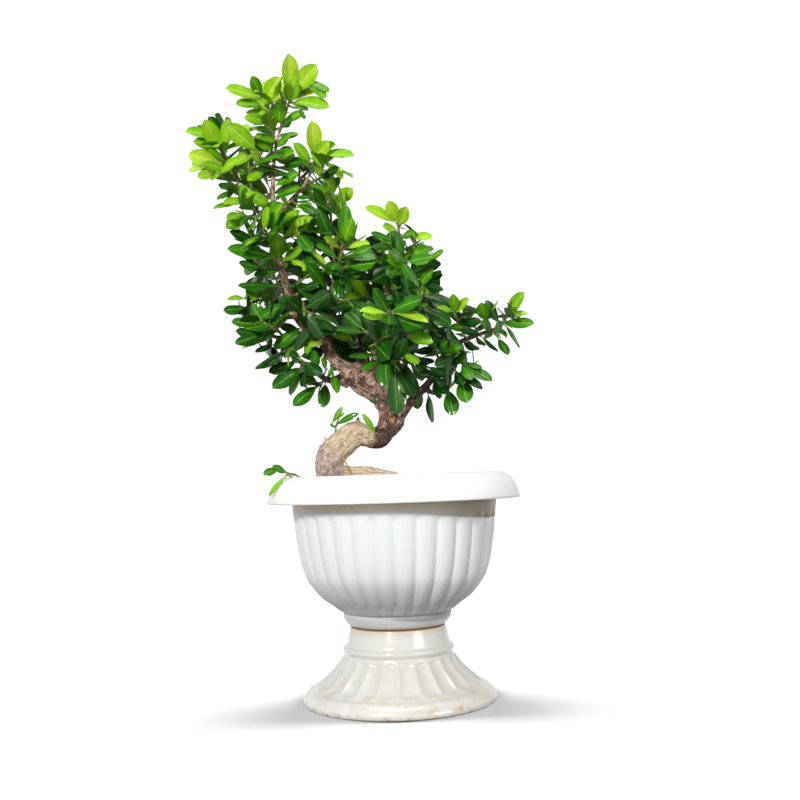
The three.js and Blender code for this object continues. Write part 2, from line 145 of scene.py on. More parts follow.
# Shoots: name, branch, place along the branch as point number and fraction, tip, number of leaves,
# leaf size and shift in tone
SHOOTS = [
    ["top", "leader", 12, [-115, 0, 795], 9, 1.2, 0],
    ["top_left", "leader", 11.3, [-156, -12, 776], 9, 1.05, 0],
    ["top_back", "leader", 10.5, [-154, 34, 738], 6, 1.0, 0],
    ["crest_left", "leftTop", 2, [-221, -10, 731], 9, 1.1, 0],
    ["crest_low", "leftTop", 1.6, [-225, -24, 685], 8, 1.05, 0],
    ["crest_front", "leftTop", 1.1, [-175, -30, 718], 8, 1.05, 0],
    ["crest_back", "leftTop", 1.3, [-198, 34, 709], 6, 1.0, 0],
    ["fork_tip", "rightTop", 3, [-85, -6, 712], 9, 1.1, -0.1],
    ["fork_right", "rightTop", 2.2, [-62, -12, 678], 8, 1.05, 0],
    ["fork_back", "rightTop", 1.6, [-113, 36, 700], 6, 1.0, 0],
    ["upper_back", "leader", 9, [-155, 50, 671], 6, 1.05, 0],
    ["upper_left", "leader", 8.25, [-186, -20, 624], 8, 1.05, 0],
    ["mid_left", "leader", 7.6, [-193, 6, 594], 8, 1.05, 0],
    ["mid_front", "leader", 7.9, [-156, -42, 592], 7, 1.1, 0],
    ["mid_right", "leader", 7.7, [-105, -28, 599], 7, 1.0, 0],
    ["mid_low_left", "leader", 6.6, [-175, -12, 550], 8, 1.05, 0],
    ["low_left", "leader", 5.3, [-167, -6, 512], 8, 1.05, 0],
    ["low_right", "leader", 5.5, [-100, -30, 538], 7, 1.0, 0],
    ["side_tip", "leftMiddle", 3, [-183, -18, 485], 9, 1.05, 0],
    ["side_low", "leftMiddle", 2.2, [-180, -26, 450], 8, 1.05, 0],
    ["side_front", "leftMiddle", 1.5, [-141, -52, 472], 7, 1.1, 0],
    ["side_under", "leftMiddle", 1.2, [-126, -46, 426], 7, 1.1, 0],
    ["under_tip", "leftLow", 3, [-142, -18, 417], 8, 1.05, 0],
    ["under_hang", "leftLow", 1.2, [-95, -18, 395], 5, 1.0, 0],
    ["front_left", "frontLeft", 2, [-101, -88, 479], 8, 1.1, 0],
    ["middle_tip", "middle", 7, [-55, -8, 623], 9, 1.05, 0],
    ["middle_fork", "middleFork", 3, [-80, 18, 652], 9, 1.0, 0],
    ["middle_right", "middle", 6, [-31, -18, 586], 7, 1.05, 0],
    ["middle_front", "middle", 4.3, [-58, -44, 556], 8, 1.1, 0],
    ["middle_back", "middleFork", 1.4, [-92, 46, 600], 7, 1.05, 0],
    ["middle_low", "middle", 3, [-50, -46, 502], 8, 1.1, 0],
    ["low_back", "middle", 2.2, [-95, 56, 496], 7, 1.1, 0],
    ["right_tip", "right", 8, [15, 4, 619], 8, 1.05, -0.35],
    ["right_side", "right", 7.3, [41, 2, 583], 7, 1.0, 0],
    ["right_front", "right", 6.4, [25, -34, 550], 8, 1.1, 0],
    ["right_out", "right", 5.8, [54, 10, 539], 8, 1.05, 0],
    ["right_back", "right", 6.2, [-4, 52, 585], 7, 1.05, 0],
    ["right_low", "right", 4.9, [58, 18, 509], 8, 1.05, 0],
    ["right_low_back", "right", 4.4, [8, 64, 515], 7, 1.1, 0],
    ["front_right", "frontRight", 2, [40, -76, 486], 8, 1.1, 0.05],
    ["front_tip", "front", 3, [2, -100, 477], 8, 1.1, -0.12],
    ["front_mid", "front", 2, [-20, -92, 438], 7, 1.1, 0],
    ["front_low", "front", 1.3, [10, -70, 412], 7, 1.1, 0],
    ["back_low", "back", 1.6, [-55, 98, 462], 7, 1.1, 0],
    ["arm_tip", "arm", 11, [155, 2, 484], 7, 1.0, -0.2],
    ["arm_up", "arm", 9.8, [123, -8, 492], 7, 0.95, -0.1],
    ["arm_mid", "arm", 8.5, [84, -8, 488], 8, 1.05, 0],
    ["arm_under", "arm", 7.6, [99, -26, 434], 7, 1.05, 0],
    ["arm_front", "arm", 6.4, [58, -46, 435], 8, 1.1, 0],
    ["low_tip", "armLow", 3, [102, -12, 415], 7, 1.05, 0],
    ["low_mid", "armLow", 2, [75, -30, 389], 6, 1.0, 0],
    ["back_tip", "back", 3, [-17, 112, 555], 7, 1.1, 0],
    ["back_left", "backLeft", 3, [-158, 98, 563], 7, 1.1, 0],
    ["back_right", "backRight", 3, [57, 88, 515], 7, 1.1, 0],
    ["knuckle", "trunk", 4.6, [-74, -14, 368], 4, 0.7, -0.6],
    ["over_rim", "rootFront", 2, [-138, -94, 306], 4, 0.75, -0.35],
]

# Leaves set out one by one where the photo shows them, by shoot: root, tip, width, turn away from the
# viewer in degrees, tone from young to old, and droop where it isn't the usual
PLACED = {
    "top": [
        [-120, 1, 778, -119, -38, 821, 24, 23, 0.06], [-118, 0, 786, -83, -31, 812, 24, 0, 0.1],
        [-123, 1, 770, -112, -25, 794, 21, 0, 0.18], [-98, -6, 801, -69, -16, 781, 14, 45, 0.36],
        [-97, -6, 796, -72, -17, 773, 14, 37, 0.25], [-122, 1, 774, -69, -7, 766, 22, 45, 0.2],
        [-107, -5, 764, -101, -23, 744, 11, 55, 0.4], [-131, 2, 746, -103, -17, 759, 14, 37, 0.33],
        [-133, 2, 742, -135, -26, 765, 19, 0, 0.3], [-133, 2, 742, -116, -30, 741, 14, 37, 0.6],
        [-122, 1, 774, -97, -5, 762, 11, 47, 0.3],
    ],
    "top_left": [
        [-154, -10, 767, -133, -37, 794, 22, 0, 0.1], [-155, -11, 775, -196, -43, 780, 21, 48, 0.14],
        [-154, -10, 767, -186, -29, 763, 15, 40, 0.28],
        [-149, -5, 747, -173, -32, 745, 14, 13, 0.18, 0.3], [-149, -5, 747, -166, -26, 740, 11, 55, 0.5],
        [-156, -12, 776, -164, -43, 792, 15, 0, 0.38], [-146, -2, 736, -159, -34, 727, 14, 45, 0.6],
        [-144, 0, 728, -162, -29, 719, 14, 51, 0.25],
    ],
    "top_back": [
        [-138, 2, 724, -155, -30, 716, 14, 44, 0.35], [-141, 2, 714, -160, -28, 709, 14, 37, 0.35],
        [-138, 2, 724, -112, -8, 727, 11, 56, 0.3], [-134, 0, 699, -115, -31, 697, 14, 45, 0.3],
        [-137, 1, 729, -110, -7, 728, 11, 63, 0.3], [-141, 2, 714, -120, -27, 720, 14, 44, 0.35],
        [-142, 3, 709, -119, -14, 708, 11, 46, 0.5],
    ],
    "crest_left": [
        [-209, -13, 724, -248, -44, 725, 20, 50, 0.18], [-221, -10, 731, -236, -42, 734, 14, 52, 0.75],
        [-210, -9, 705, -222, -44, 733, 22, 0, 0.1], [-203, -14, 721, -218, -44, 742, 16, 13, 0.6],
        [-200, -15, 723, -196, -47, 739, 14, 45, 0.35], [-206, -9, 697, -194, -43, 733, 20, 47, 0.15],
        [-212, -9, 710, -240, -36, 715, 16, 28, 0.2], [-200, -9, 686, -162, -27, 703, 18, 34, 0.16],
        [-202, -9, 690, -245, -41, 696, 22, 0, 0], [-196, -8, 678, -227, -36, 686, 17, 47, 0.25],
        [-204, -9, 693, -221, -40, 700, 14, 45, 0.3], [-202, -17, 736, -209, -52, 741, 14, 45, 0.6],
    ],
    "crest_front": [[-159, -30, 699, -191, -67, 723, 24, 0, 0.18]],
    "crest_low": [
        [-225, -24, 685, -249, -40, 678, 12, 50, 0.1], [-214, -19, 676, -233, -47, 664, 14, 29, 0.1],
        [-197, -12, 664, -206, -44, 650, 14, 45, 0.45], [-189, -9, 659, -209, -39, 655, 14, 52, 0.55],
        [-189, -9, 659, -215, -22, 642, 14, 62, 0.5],
    ],
    "fork_back": [
        [-154, -1, 684, -174, -24, 665, 14, 27, 0.2], [-159, -3, 690, -168, -37, 698, 14, 37, 0.08],
        [-134, -1, 687, -104, -20, 689, 14, 27, 0.6],
    ],
    "fork_tip": [
        [-90, -6, 697, -90, -41, 732, 22, 22, 0], [-90, -6, 695, -71, -32, 710, 17, 0, 0.06],
        [-93, -5, 685, -112, -34, 708, 16, 31, 0.18], [-89, -6, 697, -39, -24, 694, 22, 58, 0.2],
        [-86, -6, 707, -62, -33, 707, 14, 45, 0.35], [-76, -10, 689, -53, -23, 665, 14, 45, 0.1, 0.25],
        [-94, -5, 681, -69, -12, 659, 14, 65, 0.25],
    ],
    "fork_right": [
        [-62, -12, 678, -40, -25, 668, 11, 67, 0.3], [-84, -8, 668, -58, -33, 671, 14, 37, 0.8],
        [-98, -5, 663, -75, -15, 650, 11, 47, 0.35],
    ],
    "middle_fork": [
        [-78, 14, 643, -66, -8, 670, 15, 12, 0.06], [-64, 7, 641, -42, -19, 650, 18, 0, 0.14],
        [-115, -7, 636, -88, -24, 620, 14, 37, 0.55], [-71, 14, 656, -57, -16, 668, 14, 44, 0.3],
        [-119, -4, 646, -97, -21, 641, 11, 55, 0.6],
    ],
    "upper_left": [
        [-145, -1, 630, -175, -29, 645, 18, 29, 0.24, 0.25],
        [-174, -6, 640, -206, -28, 636, 16, 50, 0.14], [-183, -11, 639, -217, -31, 628, 16, 67, 0.3],
        [-180, -18, 621, -200, -38, 600, 16, 0, 0.3], [-146, 0, 646, -109, -16, 656, 17, 52, 0.4],
        [-183, -19, 623, -196, -49, 608, 14, 38, 0.25],
    ],
    "mid_left": [[-163, 0, 586, -197, -29, 599, 19, 47, 0.8]],
    "mid_right": [
        [-136, -7, 588, -97, -29, 609, 20, 33, 0.1], [-106, -28, 576, -78, -37, 552, 15, 65, 0.08, 0.25],
        [-119, -7, 630, -94, -17, 634, 11, 47, 0.3], [-126, -3, 638, -130, -39, 635, 14, 52, 0.25],
    ],
    "mid_front": [
        [-134, -7, 605, -97, -24, 617, 17, 53, 0.18, 0.3], [-144, -4, 605, -109, -22, 623, 17, 59, 0.22],
    ],
    "mid_low_left": [
        [-139, -9, 563, -136, -34, 588, 23, 0, 0.3, 0.3], [-139, -9, 565, -199, -35, 574, 26, 47, 0.45],
        [-138, -10, 558, -106, -27, 575, 16, 44, 0.28], [-125, -14, 567, -105, -33, 544, 14, 37, 0.1],
        [-157, -10, 550, -186, -32, 557, 15, 46, 0.6], [-135, -11, 547, -166, -30, 541, 15, 53, 0.6, 0.3],
        [-140, -8, 570, -120, -35, 582, 14, 52, 0.3],
    ],
    "low_right": [
        [-129, -15, 525, -187, -38, 528, 25, 63, 0.65],
        [-123, -18, 505, -158, -38, 487, 18, 32, 0.55, 0.3],
        [-120, -19, 497, -151, -38, 467, 19, 53, 0.55], [-111, -22, 520, -86, -48, 524, 14, 38, 0.8],
    ],
    "low_left": [
        [-174, -9, 507, -169, -36, 530, 20, 0, 0.22], [-181, -11, 514, -202, -28, 510, 11, 55, 0.2],
        [-177, -11, 501, -207, -31, 496, 15, 29, 0.65],
    ],
    "middle_low": [
        [-75, -9, 513, -99, -38, 552, 22, 45, 0.5], [-74, -9, 518, -120, -33, 530, 22, 62, 0.85],
        [-78, -12, 464, -47, -28, 454, 14, 45, 0.18], [-45, -49, 495, -69, -74, 488, 14, 39, 0.8],
        [-72, -9, 522, -78, -41, 538, 14, 45, 0.75],
    ],
    "middle_tip": [
        [-71, 2, 583, -111, -25, 594, 20, 38, 0.85], [-72, 3, 589, -84, -29, 624, 19, 31, 0.6],
    ],
    "middle_right": [
        [-58, -11, 583, -46, -41, 620, 20, 25, 0.45], [-58, -11, 573, -43, -39, 607, 19, 0, 0.33],
        [-58, -11, 573, -77, -40, 584, 14, 52, 0.08], [-54, -11, 575, -22, -27, 577, 14, 52, 0.1],
    ],
    "middle_front": [
        [-59, -42, 555, -16, -59, 554, 18, 57, 0.5, 0.3], [-70, -6, 540, -88, -27, 561, 14, 57, 0.4],
        [-69, -10, 535, -26, -29, 542, 19, 52, 0.45],
    ],
    "middle_back": [[-94, 31, 586, -99, 2, 606, 14, 0, 0.75]],
    "right_tip": [
        [16, 4, 608, -24, -21, 625, 20, 50, 0.1], [16, 5, 608, 4, -20, 631, 18, 0, 0.04],
        [16, 5, 604, 28, -24, 622, 17, 0, 0.08], [17, 5, 597, -2, -25, 599, 14, 44, 0.16],
        [18, 6, 591, 36, -25, 590, 14, 44, 0.4],
    ],
    "right_side": [
        [31, -1, 590, 58, -24, 582, 14, 37, 0.1], [17, 5, 582, -18, -15, 593, 17, 57, 0.5],
        [36, 3, 580, 60, -7, 571, 11, 46, 0.7], [11, 7, 560, 55, -18, 570, 20, 35, 0.4],
        [16, 5, 578, -18, -10, 577, 15, 47, 0.55],
    ],
    "right_back": [[-3, 49, 582, -25, 24, 595, 19, 0, 0.9]],
    "right_out": [
        [55, 2, 560, 71, -30, 562, 14, 51, 0.3], [18, 10, 536, 65, -9, 554, 22, 33, 0.78],
        [44, 7, 527, 70, -15, 537, 14, 44, 0.88], [45, 7, 529, 70, -16, 516, 14, 44, 0.9],
        [38, 6, 523, 59, -17, 542, 14, 27, 0.35], [21, 6, 523, 52, -11, 513, 14, 44, 0.2],
        [48, 6, 549, 69, -23, 551, 14, 36, 0.8], [51, 10, 539, 68, -22, 537, 14, 51, 0.85],
    ],
    "right_low": [
        [50, 13, 519, 80, 0, 505, 14, 57, 0.85], [37, 26, 434, 40, 8, 403, 16, 0, 0.35],
        [41, 25, 434, 67, 11, 438, 12, 57, 0.12], [27, 31, 443, 56, 10, 442, 14, 43, 0.85],
        [37, 26, 434, 55, -4, 425, 14, 43, 0.95],
    ],
    "right_front": [[11, 3, 550, -7, -27, 559, 14, 27, 0.55]],
    "back_tip": [
        [-26, 81, 522, -50, 58, 546, 17, 9, 0.22], [-26, 81, 522, -68, 60, 523, 19, 55, 0.2],
        [-23, 90, 532, 16, 71, 536, 17, 51, 0.25],
    ],
    "front_tip": [
        [2, -96, 475, -31, -113, 478, 13, 51, 0.12], [2, -97, 476, 46, -117, 463, 17, 58, 0.1, 0.25],
        [3, -87, 472, -29, -103, 473, 14, 41, 0.2],
    ],
    "front_low": [
        [-5, -46, 434, 0, -68, 469, 28, 0, 0.6], [-5, -46, 434, -6, -61, 391, 25, 0, 0.62],
        [7, -64, 417, 7, -72, 356, 25, 19, 0.85], [-15, -7, 400, -25, -31, 375, 14, 28, 0.75],
        [-10, -37, 432, -49, -56, 430, 17, 64, 0.5], [-11, -31, 426, -35, -55, 415, 14, 46, 0.45],
        [15, -64, 431, 36, -90, 416, 14, 47, 0.25],
    ],
    "back_low": [
        [-38, 45, 461, -35, 15, 481, 24, 0, 0.7], [-38, 45, 461, -18, 20, 444, 14, 23, 0.7],
        [-39, 39, 452, -53, 7, 458, 14, 34, 0.6], [-39, 39, 452, -61, 20, 431, 20, 0, 0.85],
        [-50, 52, 483, -71, 23, 490, 16, 0, 0.7],
    ],
    "front_mid": [[15, -75, 454, 53, -92, 441, 18, 26, 0.33]],
    "arm_front": [
        [29, 15, 404, 36, 0, 367, 18, 10, 0.5], [58, -46, 435, 70, -79, 442, 14, 31, 0.52],
        [59, -38, 431, 90, -55, 438, 14, 39, 0.48], [59, -41, 433, 49, -63, 458, 14, 30, 0.6],
    ],
    "low_mid": [
        [44, -12, 419, 72, -26, 407, 14, 56, 0.7], [47, -3, 388, 53, -19, 347, 18, 58, 0.7],
        [57, -6, 408, 62, -23, 377, 14, 37, 0.95], [73, -7, 391, 79, -21, 356, 20, 0, 0.62],
    ],
    "arm_mid": [
        [85, -7, 486, 84, -37, 505, 14, 13, 0.24], [85, -7, 486, 101, -35, 501, 14, 45, 0.1],
        [84, -8, 488, 62, -36, 491, 14, 52, 0.18], [88, -5, 478, 116, -27, 471, 14, 27, 0.9],
    ],
    "arm_up": [
        [111, -1, 469, 79, -18, 467, 14, 37, 0.4], [127, -1, 475, 117, -29, 494, 17, 0, 0.35],
        [140, -1, 455, 149, -26, 430, 14, 37, 0.6], [116, 2, 459, 139, -12, 436, 14, 69, 0.92],
        [134, 3, 465, 118, -29, 471, 14, 27, 0.4], [111, 2, 458, 121, -19, 443, 11, 55, 0.95],
        [134, 3, 465, 123, -20, 452, 11, 46, 0.7], [120, 2, 461, 93, -21, 461, 14, 44, 0.85],
        [126, -2, 476, 111, -20, 461, 11, 47, 0.8],
    ],
    "arm_tip": [
        [144, 2, 471, 125, -16, 499, 15, 19, 0.7], [150, 3, 477, 173, -25, 506, 19, 34, 0.22],
        [153, 2, 481, 177, -14, 483, 12, 57, 0.15, 0.25], [144, 2, 473, 183, -22, 468, 19, 42, 0.44],
        [147, 3, 474, 167, -12, 441, 17, 74, 0.6, 0.25], [142, -2, 456, 137, -35, 470, 14, 37, 0.45],
        [141, 2, 470, 150, -19, 454, 11, 55, 0.5],
    ],
    "arm_under": [
        [98, 0, 453, 111, -20, 438, 11, 47, 0.95], [77, -10, 418, 96, -38, 430, 14, 45, 0.52],
        [93, -1, 451, 112, -29, 437, 14, 51, 1],
    ],
    "low_tip": [
        [92, -15, 418, 126, -35, 396, 18, 42, 0.58], [91, -16, 421, 101, -41, 398, 14, 14, 0.47],
        [91, -16, 422, 115, -29, 414, 11, 57, 0.5, 0.25], [91, -9, 405, 96, -23, 371, 22, 0, 0.46],
        [92, -10, 407, 114, -31, 387, 14, 52, 0.95], [83, -13, 413, 89, -42, 392, 15, 0, 0.92],
        [97, -11, 411, 114, -34, 388, 14, 52, 0.85],
    ],
    "side_low": [
        [-155, -23, 471, -172, -50, 502, 21, 0, 0.5], [-154, -22, 462, -189, -48, 467, 17, 37, 0.78],
    ],
    "side_tip": [[-164, -21, 478, -195, -42, 479, 15, 31, 0.5]],
    "side_front": [
        [-146, -24, 466, -189, -51, 452, 21, 44, 0.7], [-143, -27, 452, -167, -41, 441, 12, 51, 0.88],
        [-108, -19, 476, -142, -40, 444, 20, 37, 0.52], [-110, -20, 466, -132, -36, 434, 17, 13, 0.5],
        [-101, -19, 468, -110, -48, 487, 14, 29, 0.42], [-110, -20, 466, -138, -41, 477, 15, 40, 0.75],
    ],
    "side_under": [
        [-127, -34, 444, -165, -59, 419, 21, 61, 0.9], [-95, -19, 463, -104, -43, 437, 14, 38, 0.35],
        [-84, -18, 453, -98, -50, 444, 14, 52, 0.1], [-107, -18, 424, -146, -43, 396, 22, 29, 0.64],
    ],
    "low_back": [[-95, 56, 496, -114, 31, 514, 19, 0, 0.75]],
    "under_tip": [
        [-112, -19, 427, -122, -51, 438, 14, 38, 0.55], [-116, -19, 429, -150, -40, 415, 17, 26, 0.88],
        [-112, -19, 427, -127, -36, 387, 18, 52, 0.55],
    ],
    "under_hang": [
        [-95, -17, 416, -92, -46, 438, 14, 28, 0.45], [-103, -18, 422, -110, -43, 396, 14, 38, 0.9],
        [-91, -16, 400, -121, -36, 373, 18, 25, 0.58], [-83, -14, 404, -84, -27, 370, 16, 0, 0.6],
        [-73, -17, 415, -67, -39, 387, 14, 38, 0.38], [-81, -19, 417, -84, -44, 430, 11, 47, 0.2],
        [-81, -15, 408, -71, -39, 418, 11, 56, 0.4],
    ],
    "knuckle": [
        [-73, -10, 346, -44, -20, 361, 9, 25, 0.5, 0.3], [-77, -10, 348, -63, -16, 367, 7, 10, 0.36, 0.4],
        [-71, -10, 343, -78, -14, 349, 4, 30, 0.4], [-67, -13, 356, -60, -15, 363, 4, 40, 0.3],
        [-20, -14, 333, -35, -24, 358, 7.5, 15, 0.28, 0.3],
    ],
    "over_rim": [
        [-144, -13, 294, -163, -20, 288, 11, 20, 0.5],
        [-129, -60, 286, -151, -64, 264, 6, 20, 0.24, 0.35],
        [-133, -11, 288, -150, -30, 297, 10, 30, 0.42],
    ],
    "upper_back": [[-145, 1, 662, -111, -15, 674, 16, 37, 0.35]],
}

# Twigs that carry some of them: start and end
TWIGS = {
    "top": [[-115, 0, 795, -98, -6, 801], [-115, 0, 795, -97, -6, 796], [-123, 1, 770, -107, -5, 764]],
    "top_back": [[-143, 2, 703, -134, 0, 699]],
    "crest_left": [
        [-217, -10, 722, -209, -13, 724], [-215, -10, 718, -203, -14, 721],
        [-215, -10, 718, -200, -15, 723], [-221, -10, 731, -202, -17, 736],
    ],
    "crest_front": [[-174, -25, 701, -159, -30, 699]],
    "fork_back": [
        [-144, 2, 684, -154, -1, 684], [-144, 2, 690, -159, -3, 690], [-144, 2, 690, -134, -1, 687],
    ],
    "fork_tip": [[-90, -6, 695, -76, -10, 689]],
    "middle_fork": [
        [-76, 12, 637, -64, 7, 641], [-122, -4, 643, -115, -7, 636], [-80, 18, 652, -71, 14, 656],
    ],
    "upper_left": [[-178, -7, 648, -183, -11, 639]],
    "mid_front": [[-144, -4, 605, -134, -7, 605]],
    "mid_low_left": [[-139, -9, 563, -125, -14, 567]],
    "mid_right": [[-115, -22, 595, -106, -28, 576], [-126, -3, 638, -119, -7, 630]],
    "low_left": [
        [-167, -6, 512, -174, -9, 507], [-167, -6, 512, -181, -11, 514], [-167, -6, 512, -177, -11, 501],
    ],
    "middle_back": [[-86, 34, 591, -94, 31, 586]],
    "right_side": [[38, 3, 581, 31, -1, 590]],
    "right_out": [
        [54, 10, 539, 55, 2, 560], [44, 10, 538, 44, 7, 527], [44, 10, 538, 45, 7, 529],
        [37, 10, 537, 38, 6, 523], [21, 10, 536, 21, 6, 523], [51, 10, 539, 48, 6, 549],
    ],
    "right_low": [
        [50, 17, 509, 50, 13, 519], [27, 31, 443, 37, 26, 434], [27, 31, 443, 41, 25, 434],
        [27, 31, 443, 37, 26, 434],
    ],
    "back_low": [[-36, 56, 478, -50, 52, 483]],
    "front_mid": [[0, -69, 460, 15, -75, 454]],
    "front_low": [[3, -59, 421, 15, -64, 431]],
    "arm_front": [[16, 19, 412, 27, 15, 404]],
    "low_mid": [[57, -6, 408, 44, -12, 419]],
    "arm_up": [[116, 2, 459, 111, -1, 469], [134, 3, 465, 140, -1, 455]],
    "arm_tip": [[136, 2, 467, 142, -2, 456]],
    "low_tip": [
        [99, -11, 413, 92, -15, 420], [99, -11, 413, 91, -16, 421], [100, -12, 413, 91, -16, 422],
        [90, -9, 405, 83, -13, 413],
    ],
    "arm_under": [[68, -6, 425, 77, -10, 418]],
    "side_front": [[-141, -23, 462, -143, -27, 452]],
    "under_hang": [[-72, -14, 406, -73, -17, 415], [-86, -16, 411, -81, -19, 417]],
    "middle_low": [[-50, -46, 502, -45, -49, 495]],
    "low_right": [[-116, -19, 528, -111, -22, 520]],
    "over_rim": [
        [-97, -30, 279, -124, -14, 286], [-124, -14, 286, -145, -12, 295],
        [-106, -30, 281, -129, -60, 286],
    ],
    "knuckle": [[-73, -6, 332, -71, -12, 346], [-71, -12, 346, -67, -13, 357]],
}

# Reach of the crown seen from the camera, as x and z on the plane through the pot's axis
OUTLINE = [
    (-127, 820), (-109, 811), (-90, 819), (-78, 794), (-81, 771), (-108, 764), (-121, 743), (-126, 710),
    (-109, 700), (-96, 714), (-80, 716), (-62, 708), (-49, 694), (-50, 674), (-58, 665), (-46, 654),
    (-50, 625), (-42, 612), (-40, 590), (-31, 581), (-21, 592), (-1, 593), (11, 610), (24, 610),
    (34, 595), (52, 594), (53, 577), (68, 562), (69, 524), (83, 506), (97, 503), (116, 494), (142, 495),
    (160, 500), (173, 487), (171, 472), (143, 460), (113, 449), (95, 438), (97, 424), (123, 406),
    (111, 394), (94, 380), (76, 370), (55, 376), (30, 380), (11, 370), (-6, 388), (-24, 399), (-52, 416),
    (-69, 396), (-87, 381), (-117, 382), (-130, 395), (-149, 408), (-142, 432), (-165, 434), (-157, 452),
    (-191, 455), (-194, 475), (-203, 499), (-198, 514), (-182, 527), (-190, 540), (-184, 563),
    (-197, 580), (-194, 603), (-201, 617), (-195, 638), (-213, 649), (-213, 669), (-234, 677),
    (-252, 693), (-252, 738), (-227, 755), (-194, 751), (-164, 746), (-175, 757), (-187, 773),
    (-198, 793), (-171, 801), (-157, 801), (-145, 808),
]


# Shared maths
def chance(a, b):
    """A number from 0 to 1 that looks random, the same as in the solids' source."""
    value = math.sin(a * 12.9898 + b * 78.233) * 43758.5453
    return value - math.floor(value)


def unit(vector):
    return vector / np.linalg.norm(vector)


def square_to(direction, hint):
    """Two directions square to the given one. The first of them lies as near to the hint as it can."""
    across = unit(hint - direction * np.dot(hint, direction))
    return across, np.cross(direction, across)


def step_between(low, high, value):
    """0 below low, 1 above high and a smooth step between."""
    part = np.clip((value - low) / (high - low), 0, 1)
    return part * part * (3 - 2 * part)


def on_route(route, place):
    """The point and radius at a place on a route, given as point number and fraction."""
    index = min(int(place), len(route) - 2)
    part = place - index
    return np.array(route[index], float) * (1 - part) + np.array(route[index + 1], float) * part


def curve_through(points, parts_between):
    """Rows on a smooth curve through points, with so many parts between each two of them."""
    padded = np.vstack([2 * points[0] - points[1], points, 2 * points[-1] - points[-2]])
    rows = []
    for i in range(1, len(padded) - 2):
        a, b, c, d = padded[i - 1:i + 3]
        count = parts_between(b, c)
        for part in np.arange(count) / count:
            rows.append(0.5 * (2 * b + (c - a) * part + (2 * a - 5 * b + 4 * c - d) * part ** 2
                               + (3 * b - a - 3 * c + d) * part ** 3))
    rows.append(points[-1])
    return rows


def smooth_route(route, step):
    """Points and radii every few millimetres along a smooth curve through a route's points."""
    points = np.array(route, float)
    return np.array(curve_through(points, lambda b, c: max(2, int(np.linalg.norm((c - b)[:3]) / step))))


def smooth_profile(rows, parts):
    """More rows on a smooth curve through a profile's rows."""
    rows = np.array([list(row) + [0] * (3 - len(row)) for row in rows], float)
    return [list(row) for row in curve_through(rows, lambda b, c: parts)]


def arc(start, bend, tip, part):
    """A point on the curve from start to tip that is drawn towards bend."""
    return (1 - part) ** 2 * start + 2 * (1 - part) * part * bend + part ** 2 * tip


def ring_angles(sides):
    return 2 * np.pi * np.arange(sides) / sides


# Mesh building
class Shape:
    """Gathers points and faces in millimetres. Each face has a material number, and each point has a UV,
    a tone, and whether it lies on a rim, whose edges are sharp."""

    def __init__(self):
        self.points, self.faces, self.kinds = [], [], []
        self.uvs, self.tones, self.rims = [], [], []
        self.count = 0

    def add(self, points, faces, kind=0, uv=None, tone=0.5, rim=None):
        number = len(points)
        self.points.append(np.asarray(points, float))
        self.faces.extend((np.asarray(face) + self.count).tolist() for face in faces)
        self.kinds.extend([kind] * len(faces))
        self.uvs.append(np.zeros((number, 2)) if uv is None else uv)
        self.tones.append(np.full(number, tone, float) if np.isscalar(tone) else tone)
        self.rims.append(np.zeros(number, bool) if rim is None else rim)
        self.count += number

    def to_object(self, name, materials):
        """Makes the mesh, moved from the pot's axis into the frame, and its object."""
        mesh = bpy.data.meshes.new(name)
        mesh.from_pydata(np.vstack(self.points) * MM + POT_AXIS, [], self.faces)
        for material in materials:
            mesh.materials.append(material)
        mesh.polygons.foreach_set("material_index", np.array(self.kinds, np.int32))
        mesh.polygons.foreach_set("use_smooth", np.ones(len(self.faces), bool))
        corners = np.zeros(len(mesh.loops), np.int32)
        mesh.loops.foreach_get("vertex_index", corners)
        layer = mesh.uv_layers.new(name="UVMap")
        layer.data.foreach_set("uv", np.vstack(self.uvs)[corners].ravel())
        add_values(mesh, "tone", np.concatenate(self.tones))
        rims = np.concatenate(self.rims)
        if rims.any():
            ends = np.zeros(2 * len(mesh.edges), np.int32)
            mesh.edges.foreach_get("vertices", ends)
            sharp = mesh.attributes.new("sharp_edge", "BOOLEAN", "EDGE")
            sharp.data.foreach_set("value", rims[ends.reshape(-1, 2)].all(axis=1))
        mesh.update()
        return new_object(name, mesh)


def new_object(name, data):
    made = bpy.data.objects.new(name, data)
    bpy.context.scene.collection.objects.link(made)
    return made


def add_values(mesh, name, values):
    layer = mesh.attributes.new(name, "FLOAT", "POINT")
    layer.data.foreach_set("value", np.asarray(values, np.float32))


def grid_faces(rows, columns, closed=False):
    """Quads of a grid of points, row after row. A closed grid joins its last column to its first."""
    last = columns if closed else columns - 1
    i, j = np.meshgrid(np.arange(rows - 1), np.arange(last), indexing="ij")
    k = (j + 1) % columns
    row, after = i * columns, (i + 1) * columns
    return np.stack([row + j, row + k, after + k, after + j], -1).reshape(-1, 4)


def end_faces(number, sides):
    """The faces that close the first and the last ring of so many points."""
    return [list(range(sides))[::-1], [number - sides + k for k in range(sides)]]


def tube(shape, route, sides, kind=0, tone=0.5):
    """A round bar along points with radii."""
    route = np.asarray(route, float)
    hint = TUBE_HINT
    rings = []
    angles = ring_angles(sides)
    for i, (*centre, radius) in enumerate(route):
        ahead = route[min(i + 1, len(route) - 1), :3] - route[max(i - 1, 0), :3]
        across, up = square_to(unit(ahead), hint)
        hint = across
        turn = np.cos(angles)[:, None] * across + np.sin(angles)[:, None] * up
        rings.append(np.array(centre) + radius * turn)
    faces = grid_faces(len(route), sides, closed=True).tolist() + end_faces(len(route) * sides, sides)
    if not np.isscalar(tone):
        tone = np.repeat(np.asarray(tone, float), sides)
    shape.add(np.vstack(rings), faces, kind, tone=tone)


